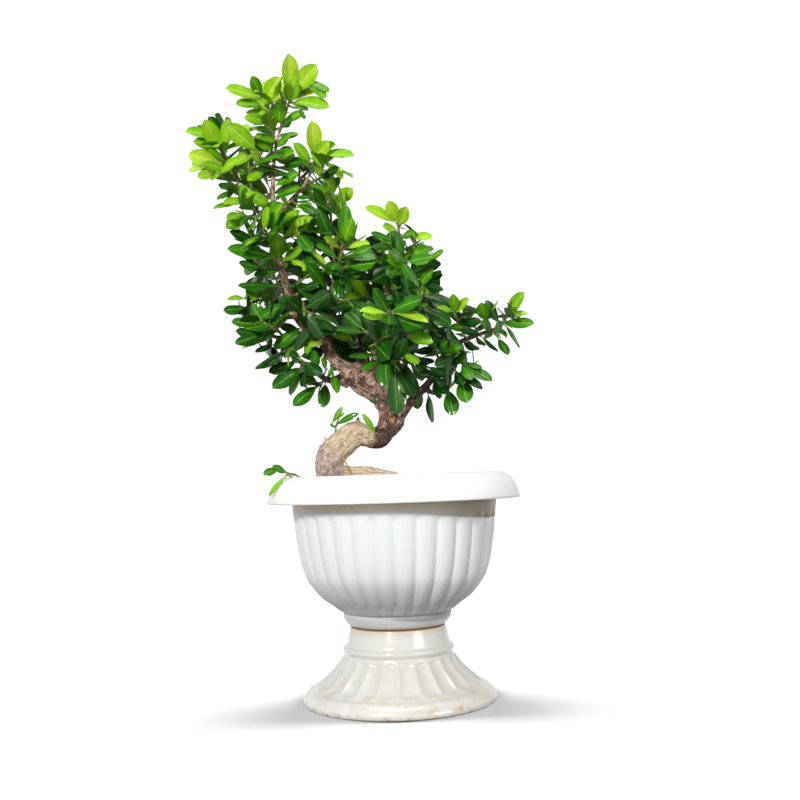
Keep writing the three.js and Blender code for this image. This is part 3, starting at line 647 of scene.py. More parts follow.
def turned(profile, sides, flute, looped=False):
    """A turned solid from rows of radius, height and depth of cut. flute(row, angles) says how far its
    points lie inward and down. A looped profile joins its last row to its first."""
    angles = ring_angles(sides)
    rows = []
    for row in profile:
        inward, down = flute(row, angles)
        reach = row[0] - inward
        height = row[1] - down + 0 * angles
        rows.append(np.stack([reach * np.cos(angles), reach * np.sin(angles), height], -1))
    faces = grid_faces(len(rows), sides, closed=True).tolist()
    if looped:
        start = (len(rows) - 1) * sides
        faces += [[start + k, start + (k + 1) % sides, (k + 1) % sides, k] for k in range(sides)]
    else:
        faces += end_faces(len(rows) * sides, sides)
    shape = Shape()
    shape.add(np.vstack(rows), faces)
    return shape


# Materials
class Nodes:
    """A node tree, with short calls for the nodes used here."""

    def __init__(self, tree):
        self.nodes, self.links = tree.nodes, tree.links

    def node(self, kind, *inputs, output=0, **settings):
        made = self.nodes.new(kind)
        for key, value in settings.items():
            setattr(made, key, value)
        for socket, value in zip(made.inputs, inputs):
            self.put(socket, value)
        return made.outputs[output]

    def put(self, socket, value):
        if isinstance(value, bpy.types.NodeSocket):
            self.links.new(value, socket)
        elif value is not None:
            socket.default_value = value

    def math(self, operation, *inputs, clamp=False):
        return self.node("ShaderNodeMath", *inputs, operation=operation, use_clamp=clamp)

    def times(self, a, b):
        return self.math("MULTIPLY", a, b)

    def plus(self, a, b):
        return self.math("ADD", a, b)

    def minus(self, a, b):
        return self.math("SUBTRACT", a, b)

    def attribute(self, name, output=2):
        return self.node("ShaderNodeAttribute", attribute_name=name, output=output)

    def place(self):
        return self.node("ShaderNodeTexCoord", output=3)

    def height(self, place):
        """Height over the floor in millimetres."""
        return self.times(self.part(place, 2), 1 / MM)

    def part(self, vector, axis):
        return self.node("ShaderNodeSeparateXYZ", vector, output=axis)

    def span(self, value, low, high, start=0.0, end=1.0, smooth=True):
        """start below low, end above high."""
        kind = "SMOOTHSTEP" if smooth else "LINEAR"
        return self.node("ShaderNodeMapRange", value, low, high, start, end, interpolation_type=kind)

    def fall(self, value, low, high):
        """1 below low, 0 above high."""
        return self.span(value, low, high, 1.0, 0.0)

    def noise(self, vector, scale, detail=3.0, roughness=0.5, output=0):
        made = self.nodes.new("ShaderNodeTexNoise")
        self.put(made.inputs["Vector"], vector)
        made.inputs["Scale"].default_value = scale
        made.inputs["Detail"].default_value = detail
        made.inputs["Roughness"].default_value = roughness
        return made.outputs[output]

    def stretch(self, vector, x, y, z):
        return self.node("ShaderNodeVectorMath", vector, (x, y, z), operation="MULTIPLY")

    def mix(self, factor, a, b, blend="MIX"):
        made = self.nodes.new("ShaderNodeMix")
        made.data_type = "RGBA"
        made.blend_type = blend
        self.put(made.inputs["Factor"], factor)
        self.put(made.inputs["A"], a if isinstance(a, bpy.types.NodeSocket) else (*a, 1))
        self.put(made.inputs["B"], b if isinstance(b, bpy.types.NodeSocket) else (*b, 1))
        return made.outputs["Result"]

    def ramp(self, factor, stops):
        made = self.nodes.new("ShaderNodeValToRGB")
        self.put(made.inputs[0], factor)
        elements = made.color_ramp.elements
        while len(elements) < len(stops):
            elements.new(0.5)
        for element, (position, colour) in zip(elements, stops):
            element.position = position
            element.color = (*colour, 1)
        return made.outputs[0]


class Material(Nodes):
    """A node material whose even values are given by the shader's socket names."""

    def __init__(self, name, **surface):
        self.material = bpy.data.materials.new(name)
        self.material.use_nodes = True
        super().__init__(self.material.node_tree)
        self.shader = self.nodes["Principled BSDF"]
        for socket, value in surface.items():
            self.shader.inputs[socket.replace("_", " ")].default_value = value

    def bump(self, height, depth, strength):
        made = self.nodes.new("ShaderNodeBump")
        made.inputs["Strength"].default_value = strength
        made.inputs["Distance"].default_value = depth * MM
        self.put(made.inputs["Height"], height)
        self.links.new(made.outputs[0], self.shader.inputs["Normal"])

    def colour(self, value):
        self.put(self.shader.inputs["Base Color"], value)

    def roughness(self, value):
        self.put(self.shader.inputs["Roughness"], value)

    def coat(self, value):
        self.put(self.shader.inputs["Coat Weight"], value)


def across_blade(look):
    """0 on the midrib and 1 on the margin, and the way along the blade."""
    uv = look.node("ShaderNodeUVMap", uv_map="UVMap")
    off = look.minus(look.part(uv, 0), 0.5)
    return look.times(look.math("ABSOLUTE", off), 2.0), look.part(uv, 1)


def vein_lines(look, across, along):
    """1 on the side veins, which lean towards the tip, and 0 between."""
    lean = look.times(across, 0.24)
    turn = look.math("FRACT", look.times(look.minus(along, lean), SIDE_VEINS))
    off = look.math("ABSOLUTE", look.minus(turn, 0.5))
    line = look.fall(off, 0.0, 0.16)
    return look.times(line, look.fall(across, 0.75, 1.0))


SIDE_VEINS = 12
# Leaf colours from new growth to old leaves
LEAF_TOPS = [
    (0.0, (0.54, 0.76, 0.040)), (0.22, (0.24, 0.55, 0.008)), (0.45, (0.046, 0.245, 0.003)),
    (0.7, (0.011, 0.108, 0.003)), (1.0, (0.005, 0.042, 0.005)),
]
LEAF_UNDERSIDES = [
    (0.0, (0.33, 0.54, 0.03)), (0.3, (0.13, 0.33, 0.012)), (0.65, (0.030, 0.115, 0.008)),
    (1.0, (0.010, 0.045, 0.007)),
]


def leaf_top():
    """Glossy, with a paler midrib, side veins and margin."""
    look = Material("leaf_top", Specular_IOR_Level=0.24, Specular_Tint=(0.6, 1.0, 0.3, 1),
                    Coat_Roughness=0.08)
    across, along = across_blade(look)
    place = look.place()
    patches = look.noise(place, 90, 3)
    fine = look.noise(place, 900, 4, 0.6)
    # Tone that shifts by random patches, and painted shade that darkens each blade towards its margin
    shift = look.times(look.minus(patches, 0.5), 0.35)
    margin_shade_and_patches = look.math("MULTIPLY_ADD", look.times(across, across), 0.13, shift)
    tone = look.math("ADD", look.attribute("tone"), margin_shade_and_patches, clamp=True)
    colour = look.ramp(tone, LEAF_TOPS)
    midrib = look.fall(across, 0.02, 0.075)
    veins = vein_lines(look, across, along)
    paler = look.mix(1.0, colour, (1.8, 1.55, 1.6), "MULTIPLY")
    colour = look.mix(look.times(veins, 0.32), colour, paler)
    rib = look.mix(tone, (0.74, 0.88, 0.34), (0.050, 0.17, 0.018))
    colour = look.mix(look.times(midrib, 0.75), colour, rib)
    margin = look.span(across, 0.93, 0.99)
    colour = look.mix(look.times(margin, 0.3), colour, rib)
    mottle = look.span(fine, 0.35, 0.7, 0.82, 1.14)
    look.colour(look.mix(1.0, colour, look.node("ShaderNodeCombineXYZ", mottle, mottle, mottle), "MULTIPLY"))
    look.roughness(look.span(patches, 0.3, 0.7, 0.2, 0.38))
    look.coat(look.span(tone, 0.3, 0.7, 0.04, 0.42))
    relief = look.times(veins, -0.5)
    relief = look.plus(relief, look.times(fine, 0.35))
    look.bump(relief, 0.25, 0.6)
    return look.material


def leaf_under():
    """Paler and duller than the top, with ribs that stand out."""
    look = Material("leaf_under", Specular_IOR_Level=0.22, Specular_Tint=(0.8, 1.0, 0.5, 1))
    across, along = across_blade(look)
    fine = look.noise(look.place(), 700, 4, 0.6)
    colour = look.ramp(look.attribute("tone"), LEAF_UNDERSIDES)
    rib = look.fall(across, 0.04, 0.12)
    veins = vein_lines(look, across, along)
    lines = look.math("MAXIMUM", rib, look.times(veins, 0.5))
    colour = look.mix(look.times(lines, 0.3), colour, (0.24, 0.38, 0.07))
    look.colour(look.mix(look.times(fine, 0.2), colour, (0.05, 0.10, 0.02)))
    look.roughness(look.span(fine, 0.3, 0.7, 0.45, 0.62))
    look.bump(look.plus(lines, look.times(fine, 0.4)), 0.3, 0.5)
    return look.material


def twig():
    """Brown where a stem is old and green towards its tip."""
    look = Material("twig_skin", Specular_IOR_Level=0.35)
    grain = look.noise(look.stretch(look.place(), 900, 900, 500), 1.0, 4, 0.6)
    colour = look.ramp(look.attribute("tone"), [
        (0.0, (0.085, 0.05, 0.028)), (0.35, (0.17, 0.13, 0.05)), (0.6, (0.14, 0.23, 0.035)),
        (1.0, (0.30, 0.48, 0.06)),
    ])
    look.colour(look.mix(look.times(grain, 0.5), colour, (0.06, 0.045, 0.02)))
    look.roughness(look.span(grain, 0.3, 0.7, 0.4, 0.65))
    look.bump(grain, 0.3, 0.6)
    return look.material


def bark():
    """Tan, purple-grey at the lower left, dark above with torn streaks, cracks, specks and orange scars."""
    look = Material("bark_skin", Specular_IOR_Level=0.4, Coat_Roughness=0.22)
    place = look.place()
    grain = look.attribute("grain", output=1)
    shade = look.attribute("shade")
    long = look.noise(look.stretch(grain, 0.55, 0.55, 0.11), 1.0, 6, 0.68)
    blots = look.noise(place, 170, 5, 0.7)
    broad = look.noise(place, 42, 4, 0.6)
    specks = look.noise(place, 640, 5, 0.75)
    cells = look.nodes.new("ShaderNodeTexVoronoi")
    cells.feature = "DISTANCE_TO_EDGE"
    cells.inputs["Scale"].default_value = 1.0
    wander = look.node("ShaderNodeVectorMath", look.stretch(grain, 0.36, 0.36, 0.16),
                       look.stretch(look.noise(place, 260, 3, output=1), 1.5, 1.5, 1.5), operation="ADD")
    look.put(cells.inputs["Vector"], wander)
    cracks = look.fall(cells.outputs["Distance"], 0.0, 0.09)

    # Tan below, purple-grey at the lower left
    blend = look.plus(look.times(long, 0.6), look.times(blots, 0.4))
    pale = look.ramp(blend, [
        (0.37, (0.36, 0.23, 0.14)), (0.43, (0.60, 0.43, 0.26)), (0.50, (0.78, 0.60, 0.38)),
        (0.60, (0.97, 0.84, 0.64)),
    ])
    grey = look.times(look.attribute("grey_low_left"), look.span(broad, 0.38, 0.56, 0.65, 1.0))
    pale = look.mix(look.times(grey, 0.85), pale, look.ramp(blend, [
        (0.36, (0.16, 0.095, 0.10)), (0.46, (0.40, 0.28, 0.28)), (0.56, (0.62, 0.50, 0.48)),
    ]))
    # Red-brown above, with lighter pinkish streaks where the bark is worn, and as painted light on its left
    # side
    dark = look.ramp(blend, [
        (0.42, (0.016, 0.008, 0.006)), (0.475, (0.10, 0.040, 0.024)), (0.53, (0.32, 0.15, 0.09)),
        (0.61, (0.70, 0.46, 0.34)),
    ])
    torn = look.math("MULTIPLY_ADD", look.minus(long, 0.5), 0.8, broad)
    wear_and_lit_side = look.times(look.span(torn, 0.44, 0.56), look.attribute("wear_and_lit_side"))
    height = look.height(place)
    streaks = look.mix(look.span(height, 420, 465), (0.90, 0.58, 0.42), (0.70, 0.38, 0.17))
    dark = look.mix(look.times(wear_and_lit_side, 0.95), dark, streaks)
    # Black patches, fewer where the bark is worn and on its painted lit left side
    black = look.times(look.span(look.noise(place, 75, 4, 0.65), 0.49, 0.57),
                       look.span(look.attribute("wear_and_lit_side"), 0.0, 1.0, 0.8, 0.6))
    dark = look.mix(black, dark, (0.030, 0.015, 0.011))
    ragged = look.plus(shade, look.times(look.minus(blots, 0.5), 2.0))
    colour = look.mix(look.span(ragged, 0.35, 0.65), pale, dark)
    cracked = look.times(cracks, look.span(shade, 0.2, 0.7, 0.25, 0.45))
    colour = look.mix(cracked, colour, (0.075, 0.042, 0.028))
    spotted = look.times(look.span(specks, 0.54, 0.63), look.span(shade, 0.2, 0.7, 0.28, 0.7))
    colour = look.mix(spotted, colour, (0.050, 0.028, 0.020))
    light = look.times(look.span(specks, 0.42, 0.34), 0.35)
    colour = look.mix(light, colour, (0.80, 0.66, 0.50))
    orange = look.mix(specks, (0.45, 0.15, 0.03), (0.80, 0.40, 0.12))
    edge = look.plus(look.attribute("scar"), look.times(look.minus(blots, 0.5), 2.4))
    colour = look.mix(look.span(edge, 0.40, 0.70), colour, orange)
    colour = look.mix(look.times(look.attribute("pale"), 0.7), colour, (0.60, 0.40, 0.30))
    look.colour(colour)
    look.roughness(look.minus(look.span(long, 0.3, 0.7, 0.6, 0.85), look.times(shade, 0.22)))
    look.coat(look.times(look.span(shade, 0.3, 0.7), look.span(broad, 0.4, 0.6, 0.05, 0.3)))
    relief = look.plus(look.times(long, 0.5), look.times(cracks, -0.35))
    relief = look.plus(relief, look.times(blots, 0.5))
    relief = look.plus(relief, look.times(specks, 0.4))
    look.bump(relief, 1.3, 1.0)
    return look.material


def bowl_plastic():
    """White and satin. The seam is at height 93.5, the collar's top at 112.4 and the lip at 250."""
    look = Material("bowl_plastic", Specular_IOR_Level=0.45, Coat_Weight=0.08, Coat_Roughness=0.2)
    place = look.place()
    height = look.height(place)
    cloud = look.noise(place, 14, 4, 0.6)
    streak = look.noise(look.stretch(place, 260, 260, 12), 1.0, 4, 0.65)
    specks = look.noise(place, 420, 5, 0.7)
    colour = look.mix(look.span(cloud, 0.35, 0.7), (0.84, 0.86, 0.87), (0.87, 0.875, 0.85))
    # Painted warm shade tone under the rim, and a little of the same tint along the rim
    under = look.times(look.span(height, 238, 244), look.span(height, 249.5, 251, 1.0, 0.12))
    colour = look.mix(under, colour, (0.97, 0.86, 0.65))
    # Painted shadow under the rim, broader and darker to the right
    off_axis = look.node("ShaderNodeVectorMath", place, tuple(POT_AXIS), operation="SUBTRACT")
    flat = look.stretch(off_axis, 1 / MM, 1 / MM, 0)
    side = look.part(flat, 0)
    level = look.plus(height, look.span(side, -10, 110, -240.0, -226.5, smooth=False))
    rim_shadow = look.times(look.span(level, -1.5, 1.5), look.fall(height, 249.0, 250.0))
    rim_shadow = look.times(rim_shadow, look.span(side, -25, 110, 0.0, 0.95, smooth=False))
    colour = look.mix(rim_shadow, colour, (0.20, 0.15, 0.06))
    # Painted shade: the bowl darkens downwards towards the collar, and the collar towards its top
    low = look.span(height, 112.6, 168, 0.62, 0.0)
    collar = look.times(look.fall(height, 112.0, 112.6), look.span(height, 97, 110, 0.3, 0.55))
    colour = look.mix(look.plus(look.times(low, look.span(height, 112.0, 112.6)), collar),
                      colour, (0.33, 0.33, 0.33))
    # Painted shade in the recess over the collar, whose top lies in the lobes' shade
    radius = look.node("ShaderNodeVectorMath", flat, operation="LENGTH", output=1)
    recess_shade = look.times(look.fall(radius, 67.2, 70.2), look.span(height, 111.6, 112.6))
    recess_shade = look.times(recess_shade, look.fall(height, 119, 122))
    colour = look.mix(look.times(recess_shade, 0.85), colour, (0.09, 0.088, 0.082))
    # Painted shadow of the lobes on the collar's top, taller to the right
    level = look.plus(height, look.span(side, -45, 35, -1.0, 6.5))
    collar_top_shadow = look.times(look.span(level, 108.5, 111.5), look.fall(height, 111.8, 112.4))
    colour = look.mix(look.times(collar_top_shadow, 0.6), colour, (0.16, 0.155, 0.145))
    dusty = look.times(look.span(streak, 0.5, 0.75), look.span(height, 112, 160, 0.35, 0.10))
    colour = look.mix(dusty, colour, (0.52, 0.51, 0.42))
    spots = look.times(look.span(specks, 0.70, 0.76), look.span(cloud, 0.5, 0.7))
    colour = look.mix(look.times(spots, 0.5), colour, (0.42, 0.36, 0.26))
    stain = look.times(look.fall(height, 95, 99.5), look.span(cloud, 0.3, 0.7, 0.4, 0.9))
    colour = look.mix(stain, colour, (0.46, 0.32, 0.16))
    seam = look.fall(height, 94.3, 95.6)
    colour = look.mix(look.times(seam, 0.9), colour, (0.16, 0.07, 0.025))
    look.colour(colour)
    look.roughness(look.span(cloud, 0.3, 0.7, 0.30, 0.42))
    look.bump(look.plus(cloud, look.times(specks, 0.12)), 0.35, 0.35)
    return look.material


def foot_plastic():
    """Cream and glossy, with a brown film, rust low down and a stained seam."""
    look = Material("foot_plastic", Specular_IOR_Level=0.6, Coat_Weight=0.6, Coat_Roughness=0.04)
    place = look.place()
    height = look.height(place)
    cloud = look.noise(place, 18, 4, 0.6)
    streak = look.noise(look.stretch(place, 200, 200, 16), 1.0, 4, 0.65)
    blots = look.noise(place, 75, 6, 0.72)
    grit = look.noise(place, 330, 5, 0.7)
    colour = look.mix(look.span(cloud, 0.35, 0.7), (0.715, 0.715, 0.69), (0.70, 0.675, 0.60))
    seam = look.times(look.span(height, 82, 92.5), look.span(streak, 0.25, 0.6, 0.4, 1.0))
    colour = look.mix(look.times(seam, 0.6), colour, (0.60, 0.47, 0.30))
    edge = look.times(look.span(height, 91.6, 93.0), 0.9)
    colour = look.mix(edge, colour, (0.30, 0.15, 0.05))
    low = look.fall(height, 2, 17)
    rust = look.times(low, look.span(blots, 0.56, 0.64))
    colour = look.mix(look.times(rust, 0.85), colour, (0.40, 0.18, 0.06))
    creases = look.times(look.span(height, 13.5, 16.5), look.fall(height, 18, 22))
    creases = look.times(creases, look.span(grit, 0.52, 0.64))
    colour = look.mix(look.times(creases, 0.3), colour, (0.34, 0.17, 0.06))
    film = look.times(look.span(height, 0, 48, 0.45, 0.04), look.span(blots, 0.42, 0.62))
    colour = look.mix(film, colour, (0.60, 0.48, 0.31))
    look.colour(colour)
    look.roughness(look.span(cloud, 0.3, 0.7, 0.12, 0.22))
    look.bump(look.plus(cloud, look.times(blots, 0.15)), 0.35, 0.3)
    return look.material


def soil_crumb():
    """Dark compost, with pale grains among the crumbs."""
    look = Material("soil_crumb", Specular_IOR_Level=0.2)
    place = look.place()
    crumbs = look.noise(place, 420, 6, 0.7)
    patches = look.noise(place, 45, 4, 0.6)
    colour = look.ramp(look.plus(look.times(crumbs, 0.7), look.times(patches, 0.3)), [
        (0.35, (0.012, 0.007, 0.004)), (0.5, (0.05, 0.03, 0.018)), (0.62, (0.11, 0.07, 0.042)),
        (0.75, (0.24, 0.17, 0.11)),
    ])
    look.colour(look.mix(look.span(look.attribute("tone"), 0.8, 0.9), colour, (0.55, 0.50, 0.42)))
    look.roughness(look.span(crumbs, 0.3, 0.7, 0.8, 0.97))
    look.bump(crumbs, 1.5, 1.0)
    return look.material


def white_floor():
    """Shows nearly white by its lamps, and takes the foot's shadow."""
    look = Material("floor_white", Roughness=0.9, Specular_IOR_Level=0.0, Emission_Strength=FLOOR_GLOW,
                    Emission_Color=(1, 1, 1, 1))
    cloud = look.noise(look.place(), 3, 2)
    look.colour(look.mix(cloud, (0.05, 0.05, 0.05), (0.052, 0.052, 0.052)))
    return look.material


def white_wall():
    return Material("wall_white", Roughness=1.0, Emission_Strength=WALL_GLOW, Emission_Color=(1, 1, 1, 1),
                    Base_Color=(0, 0, 0, 1)).material


# Pot
def phase_of(angles, flutes):
    """0 at a ridge and 1 at the middle of a groove."""
    turn = angles * flutes / (2 * np.pi)
    return 2 * np.abs(turn - np.round(turn))


def bowl_flute(row, angles):
    """Broad round lobes with narrow grooves, which turn into narrow ribs lower down."""
    _, height, cut = row
    phase = phase_of(angles, BOWL_FLUTES)
    low = 1 - step_between(118, 190, height)
    sharpness = 2.4 - 1.2 * low
    inward = cut * phase ** sharpness
    arch = step_between(POT_HEIGHT - 50, POT_HEIGHT - 40, height + 6 * phase ** 2)
    inward = inward * (1 - arch)
    scallop = step_between(122, 114.5, height) * step_between(113.2, 113.5, height)
    return inward, -4.4 * scallop * phase ** 1.8


def foot_flute(row, angles):
    """Hollow flutes with thin ridges between them and round ends."""
    _, height, cut = row
    phase = phase_of(angles, FOOT_FLUTES)
    hollow = 1 - (1 - phase) ** 2.2
    low_end = step_between(17.6, 23, height - 3 * (1 - phase) ** 2)
    high_end = step_between(59, 53, height + 4 * (1 - phase) ** 2)
    return cut * hollow * (low_end * high_end), 0


def make_bowl():
    """From under its floor down the spigot, out over the collar, flutes and rim, and back in to the well."""
    spigot = NECK_RADIUS - NECK_WALL
    lip = POT_HEIGHT - RIM_DROP
    profile = [
        [0.5, WELL_HEIGHT - WALL, 0], [spigot - WALL, WELL_HEIGHT - WALL, 0],
        [spigot - WALL, JOINT_HEIGHT - 8, 0], [spigot, JOINT_HEIGHT - 8, 0], [spigot, JOINT_HEIGHT + GAP, 0],
        [NECK_RADIUS - 1, JOINT_HEIGHT + GAP, 0], [NECK_RADIUS, JOINT_HEIGHT + 0.9, 0],
    ]
    profile += smooth_profile([
        [60.6, 95], [63.6, 98], [66.4, 102], [68, 106], [68.2, 109], [67, 111.2], [64.5, 112.2],
        [62.6, 112.4],
    ], 4)
    profile += smooth_profile([
        [62.8, 113.2, 0.1], [67.5, 113.4, 1], [72.4, 113.6, 3], [76.2, 116.4, 5], [81, 120.4, 7],
        [96.5, 132, 7.4], [112, 151.5, 6], [118, 166, 4.9], [122, 182, 4.2], [125.8, 206, 3.8],
        [128, 225, 3.5], [BOWL_RADIUS - 0.6, 243, 3],
    ], 7)
    profile += smooth_profile([
        [BOWL_RADIUS - 0.5, 244.5], [BOWL_RADIUS, 254], [BOWL_RADIUS, POT_HEIGHT - 20],
    ], 2)
    profile += smooth_profile([
        [BOWL_RADIUS + 2, POT_HEIGHT - 18], [RIM_RADIUS - 10, POT_HEIGHT - 18],
        [RIM_RADIUS - 5, POT_HEIGHT - 24], [RIM_RADIUS - 4.2, lip + 1],
    ], 5)
    profile += [[RIM_RADIUS - 3.4, lip, 0], [RIM_RADIUS - 0.6, lip, 0], [RIM_RADIUS, lip + 0.8, 0]]
    profile += smooth_profile([
        [RIM_RADIUS - 0.4, lip + 3], [RIM_RADIUS - 2.6, POT_HEIGHT - 22], [RIM_RADIUS - 7, POT_HEIGHT - 12.5],
        [RIM_RADIUS - 13.2, POT_HEIGHT - 5.4], [RIM_RADIUS - 19, POT_HEIGHT - 1.6],
        [RIM_RADIUS - 24.5, POT_HEIGHT], [RIM_RADIUS - 30, POT_HEIGHT - 0.8],
        [BOWL_RADIUS - 5, POT_HEIGHT - 3.4],
    ], 5)
    profile += smooth_profile([
        [BOWL_RADIUS - 6.3, POT_HEIGHT - 6], [122, 240], [119, 200], [98, 145], [60, 103],
    ], 4)
    profile += [[0.5, WELL_HEIGHT, 0]]
    return turned(profile, 12 * BOWL_FLUTES, bowl_flute)


def make_foot():
    """Down its hollow inside, round the ring that it stands on and up its outside."""
    bore = NECK_RADIUS - NECK_WALL + GAP
    profile = [[bore, JOINT_HEIGHT - 0.6, 0], [bore, 84, 0]]
    profile += smooth_profile([[62, 64], [74, 38], [97, 15], [FOOT_RADIUS - 6, 2]], 4)
    profile += [[FOOT_RADIUS - 4.5, 0, 0], [FOOT_RADIUS - 1.2, 0, 0], [FOOT_RADIUS - 0.3, 0.8, 0]]
    profile += smooth_profile([
        [FOOT_RADIUS, 2.5], [FOOT_RADIUS - 0.2, 5.5], [FOOT_RADIUS - 1.8, 9.5], [FOOT_RADIUS - 5, 13.4],
        [FOOT_RADIUS - 9.2, 16.8], [FOOT_RADIUS - 12.4, 18],
    ], 4)
    profile += smooth_profile([
        [108, 18.4], [105.6, 20.1, 1.4], [101.5, 23.2, 4.4], [94, 29.5, 4.8], [87, 36, 4.4],
        [80.5, 42.5, 4], [75.5, 48.8, 3.5], [71.8, 54, 2.7], [69.4, 58.2, 1],
    ], 7)
    profile += smooth_profile([[68.6, 59.6], [69, 61.2], [70.4, 64.6], [69.8, 68], [67, 69.8]], 5)
    profile += smooth_profile([
        [65.6, 70.8], [64.7, 74], [63.4, 80], [61.7, 87], [NECK_RADIUS + 0.2, JOINT_HEIGHT - 0.7],
    ], 4)
    profile += [[NECK_RADIUS - 0.6, JOINT_HEIGHT, 0], [bore + 0.6, JOINT_HEIGHT, 0]]
    return turned(profile, 14 * FOOT_FLUTES, foot_flute, looped=True)


# Soil
SOIL_CRUMBS = 2600
SOIL_SEED = 7
SOIL_SIDES = 120
SOIL_RINGS = 46


def crumb():
    """A small round lump: points of a 20-sided solid and its faces."""
    g = (1 + 5 ** 0.5) / 2
    points = np.array([
        [-1, g, 0], [1, g, 0], [-1, -g, 0], [1, -g, 0], [0, -1, g], [0, 1, g],
        [0, -1, -g], [0, 1, -g], [g, 0, -1], [g, 0, 1], [-g, 0, -1], [-g, 0, 1],
    ]) / math.hypot(1, g)
    faces = [
        [0, 11, 5], [0, 5, 1], [0, 1, 7], [0, 7, 10], [0, 10, 11], [1, 5, 9], [5, 11, 4], [11, 10, 2],
        [10, 7, 6], [7, 1, 8], [3, 9, 4], [3, 4, 2], [3, 2, 6], [3, 6, 8], [3, 8, 9], [4, 9, 5], [2, 4, 11],
        [6, 2, 10], [8, 6, 7], [9, 8, 1],
    ]
    return points, faces


def soil_level(x, y):
    """Height of the soil, a little uneven and higher in the middle."""
    radius = np.hypot(x, y)
    ripple = noise.noise(Vector((x / 19, y / 19, 3.7))) * 1.3
    ripple += noise.noise(Vector((x / 6, y / 6, 9.1))) * 0.6
    return SOIL_HEIGHT - 1.4 - 5.5 * step_between(70, 124, radius) + ripple


def make_soil():
    """A body with an uneven top, and crumbs on it."""
    angles = ring_angles(SOIL_SIDES)
    rows = [
        [0.5, WELL_HEIGHT + GAP], [59, WELL_HEIGHT + 1.5], [97, 145.5], [118, 200.5], [121, 240],
        [122.4, 268],
    ]
    points = [np.stack([r * np.cos(angles), r * np.sin(angles), 0 * angles + z], -1) for r, z in rows]
    for radius in np.linspace(122.6, 0.5, SOIL_RINGS):
        x, y = radius * np.cos(angles), radius * np.sin(angles)
        z = [soil_level(a, b) for a, b in zip(x, y)]
        points.append(np.stack([x, y, z], -1))
    faces = grid_faces(len(points), SOIL_SIDES, closed=True).tolist()
    shape = Shape()
    shape.add(np.vstack(points), faces + end_faces(len(points) * SOIL_SIDES, SOIL_SIDES))
    random = np.random.default_rng(SOIL_SEED)
    lump, lump_faces = crumb()
    for _ in range(SOIL_CRUMBS):
        radius = 120 * math.sqrt(random.random())
        angle = 2 * math.pi * random.random()
        x, y = radius * math.cos(angle), radius * math.sin(angle)
        size = 0.7 + 1.7 * random.random() ** 2
        squeeze = size * (0.6 + 0.8 * random.random(3))
        bumps = lump * (0.8 + 0.4 * random.random((len(lump), 1)))
        spin = np.array(Matrix.Rotation(TURN * random.random(), 3, Vector(random.random(3) - 0.5)))
        centre = np.array([x, y, soil_level(x, y) + 0.25 * size])
        shape.add((bumps * squeeze) @ spin.T + centre, lump_faces, tone=random.random())
    return shape


# Wood
VOXEL = 1.25
TRUNK_SIDES = 20
BRANCH_SIDES = 14
# Points of the bark that are looked up at a time
BLOCK = 4000
# Places where a branch was cut: x, z, radius of the scar and its kind
SCARS = [
    [3, 353, 4.8, "scar"], [-14, 371, 2.6, "scar"], [-25, 401, 7, "pale"], [-38, 332, 3.4, "pale"],
    [-50, 399, 4.5, "pale"],
]
# Short stubs left by pruning
STUBS = [
    [[-103, -16, 470, 5], [-106, -26, 474, 4.2], [-107, -31, 476, 3.9]],
    [[-88, -14, 457, 5], [-86, -24, 462, 4.2], [-85, -29, 464, 3.8]],
    [[-117, -16, 489, 4.6], [-126, -22, 486, 3.2], [-131, -25, 485, 2.9]],
    [[-52, -6, 412, 8], [-58, -16, 402, 6], [-60, -20, 399, 5.4]],
    [[-82, -8, 318, 1.6], [-85, -8, 326, 1.2], [-86, -8, 333, 1.1]],
    [[-88, -8, 314, 2.2], [-91, -8, 320, 1.5], [-92, -8, 322, 1.3]],
    [[-41, -8, 347, 4], [-43, -9, 353, 2.6], [-42, -10, 356, 1.8]],
    [[-124, -14, 509, 4], [-117, -22, 514, 2.6], [-114, -26, 516, 2.3]],
]
# Lumps that swell the trunk: x, y, z and radius
SWELLINGS = [
    [-26, -8, 402, 15], [-42, -9, 409, 11], [-9, -3, 345, 11], [-62, -9, 326, 13], [-82, -9, 299, 13],
    [-12, -6, 372, 9], [-33, -7, 331, 9.5], [-48, -8, 340, 11],
]


def wood_samples():
    """Rows along every route: point, radius, two directions across, way along, how dark the bark is,
    1 for the aerial root, and how worn the bark is, to which shape_bark adds painted light."""
    rows = []
    for name, route in WOOD.items():
        curve = smooth_route(route, 2.0)
        hint = TUBE_HINT
        along = 0.0
        for i, (x, y, z, radius) in enumerate(curve):
            if i:
                along += np.linalg.norm(curve[i, :3] - curve[i - 1, :3])
            ahead = unit(curve[min(i + 1, len(curve) - 1), :3] - curve[max(i - 1, 0), :3])
            across, up = square_to(ahead, hint)
            hint = across
            if name == "trunk":
                shade = step_between(-36, -14, x) if z < 360 else 0.86
            elif name.startswith("root") or name == "aerialRoot":
                shade = 0.0
            else:
                shade = 0.85 - 0.1 * step_between(410, 470, z) - 0.25 * step_between(500, 640, z)
            if name in ("trunk", "leader"):
                wear_and_lit_side = step_between(383, 397, z)
            else:
                wear_and_lit_side = 0.5 * step_between(440, 520, z)
            rows.append([x, y, z, radius, *across, *up, along, shade, float(name == "aerialRoot"), wear_and_lit_side])
    return np.array(rows)


